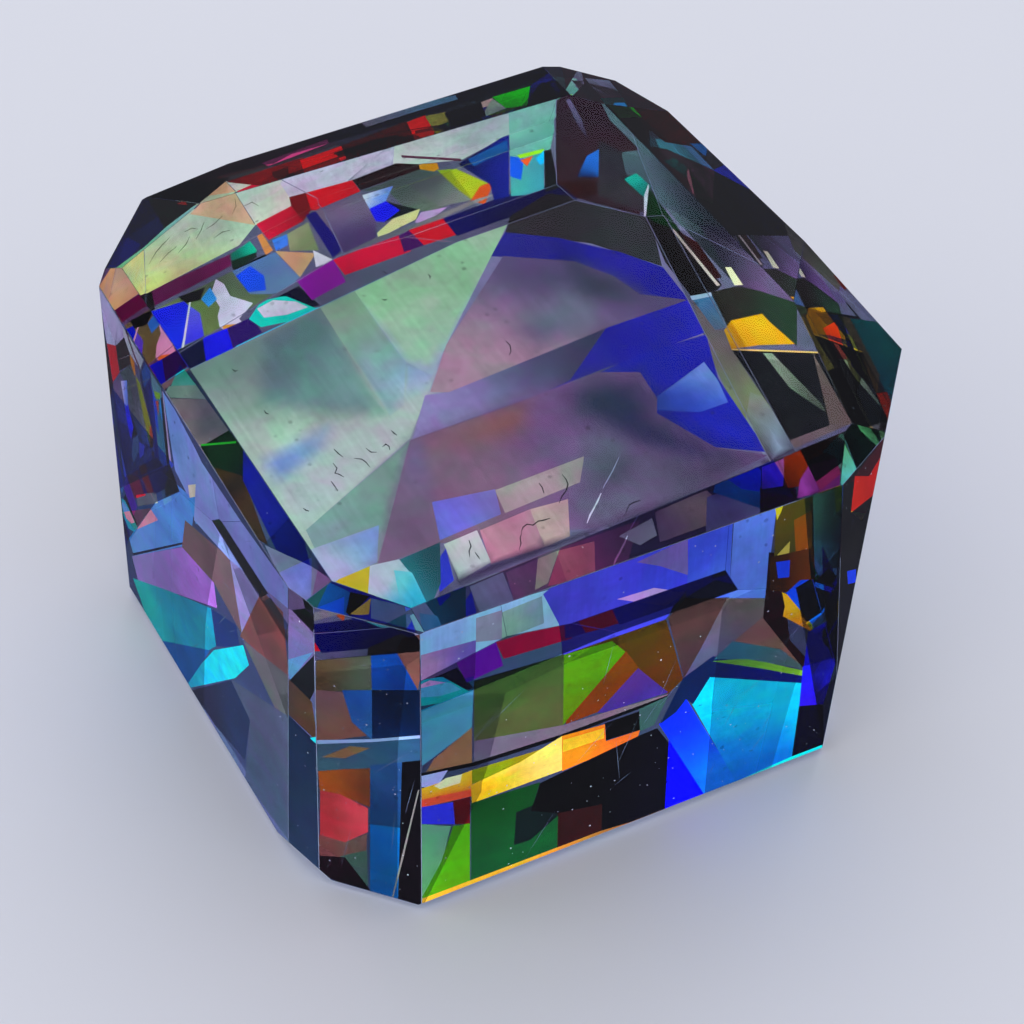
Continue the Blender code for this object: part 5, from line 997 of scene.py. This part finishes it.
# light that has gone round the stone four times comes out through the face it meets
leaves = node(nt, "BsdfRefraction")
leaves.inputs["IOR"].default_value = 1.0
leaves.inputs["Roughness"].default_value = 0.0
leaves.inputs["Color"].default_value = (0.97, 0.97, 1.0, 1)
deep = node(nt, "MixShader")
nt.links.new(maths(nt, "GREATER_THAN", depth, 3.5), deep.inputs[0])
nt.links.new(clear.outputs[0], deep.inputs[1])
nt.links.new(leaves.outputs[0], deep.inputs[2])
whole = node(nt, "MixShader")
nt.links.new(maths(nt, "GREATER_THAN", depth, 1.5), whole.inputs[0])
nt.links.new(skin.outputs[0], whole.inputs[1])
nt.links.new(deep.outputs[0], whole.inputs[2])
out = node(nt, "OutputMaterial")
nt.links.new(whole.outputs[0], out.inputs["Surface"])
stone.data.materials.append(topaz)

# ------------------------------------------------------------------ floor, light, camera
bm = bmesh.new()
bmesh.ops.create_grid(bm, x_segments=8, y_segments=8, size=1.5)
floor_mesh = bpy.data.meshes.new("floor")
bm.to_mesh(floor_mesh)
bm.free()
floor = bpy.data.objects.new("floor", floor_mesh)
floor.location.z = -0.02 * MM
bpy.context.scene.collection.objects.link(floor)
floor_material, nt = blank("floor_pale")
surface = node(nt, "BsdfPrincipled")
surface.inputs["Base Color"].default_value = (0.70, 0.71, 0.78, 1)
surface.inputs["Roughness"].default_value = 0.7
out = node(nt, "OutputMaterial")
nt.links.new(surface.outputs[0], out.inputs["Surface"])
floor.data.materials.append(floor_material)

world = bpy.data.worlds.new("studio")
bpy.context.scene.world = world
world.use_nodes = True
world.node_tree.nodes["Background"].inputs["Color"].default_value = (0.93, 0.95, 1.0, 1)
world.node_tree.nodes["Background"].inputs["Strength"].default_value = 0.72


def soft_light(name, azimuth, elevation, distance, size, power, colour=(1, 1, 1)):
    data = bpy.data.lights.new(name, "AREA")
    data.shape = "SQUARE"
    data.size = size
    data.energy = power
    data.color = colour
    ob = bpy.data.objects.new(name, data)
    back = direction(azimuth, elevation)
    ob.location = back * distance
    ob.rotation_mode = "QUATERNION"
    ob.rotation_quaternion = back.to_track_quat("Z", "Y")
    bpy.context.scene.collection.objects.link(ob)
    return ob


soft_light("behind", 66, 44, 0.5, 0.5, 0.6)
soft_light("key", 178, 42, 0.5, 0.5, 0.35)
soft_light("top", -100, 70, 0.5, 0.5, 0.3)

# fitted camera: focal length in frame widths, place in millimetres, turn in degrees
FOCAL = 3147.5 / 1024.0
PLACE = (-49.34, -87.08, 99.26)
TURN, PITCH, ROLL = -30.06, 42.92, 2.62


def camera():
    yaw, pitch, roll = map(math.radians, (TURN, PITCH, ROLL))
    forward = Vector((-math.sin(yaw) * math.cos(pitch), math.cos(yaw) * math.cos(pitch), -math.sin(pitch)))
    right0 = Vector((math.cos(yaw), math.sin(yaw), 0))
    up0 = right0.cross(forward)
    right = math.cos(roll) * right0 + math.sin(roll) * up0
    up = -math.sin(roll) * right0 + math.cos(roll) * up0
    data = bpy.data.cameras.new("camera")
    data.sensor_width = 36.0
    data.lens = FOCAL * 36.0
    data.clip_start = 0.005
    data.clip_end = 20.0
    ob = bpy.data.objects.new("camera", data)
    m = Matrix((right, up, -forward)).transposed().to_4x4()
    m.translation = Vector(PLACE) * MM
    ob.matrix_world = m
    bpy.context.scene.collection.objects.link(ob)
    bpy.context.scene.camera = ob


camera()
bpy.context.scene.cycles.max_bounces = 8
bpy.context.scene.cycles.transmission_bounces = 8
bpy.context.scene.cycles.glossy_bounces = 8
bpy.context.scene.cycles.sample_clamp_indirect = 1.5
bpy.context.scene.view_settings.view_transform = "Standard"
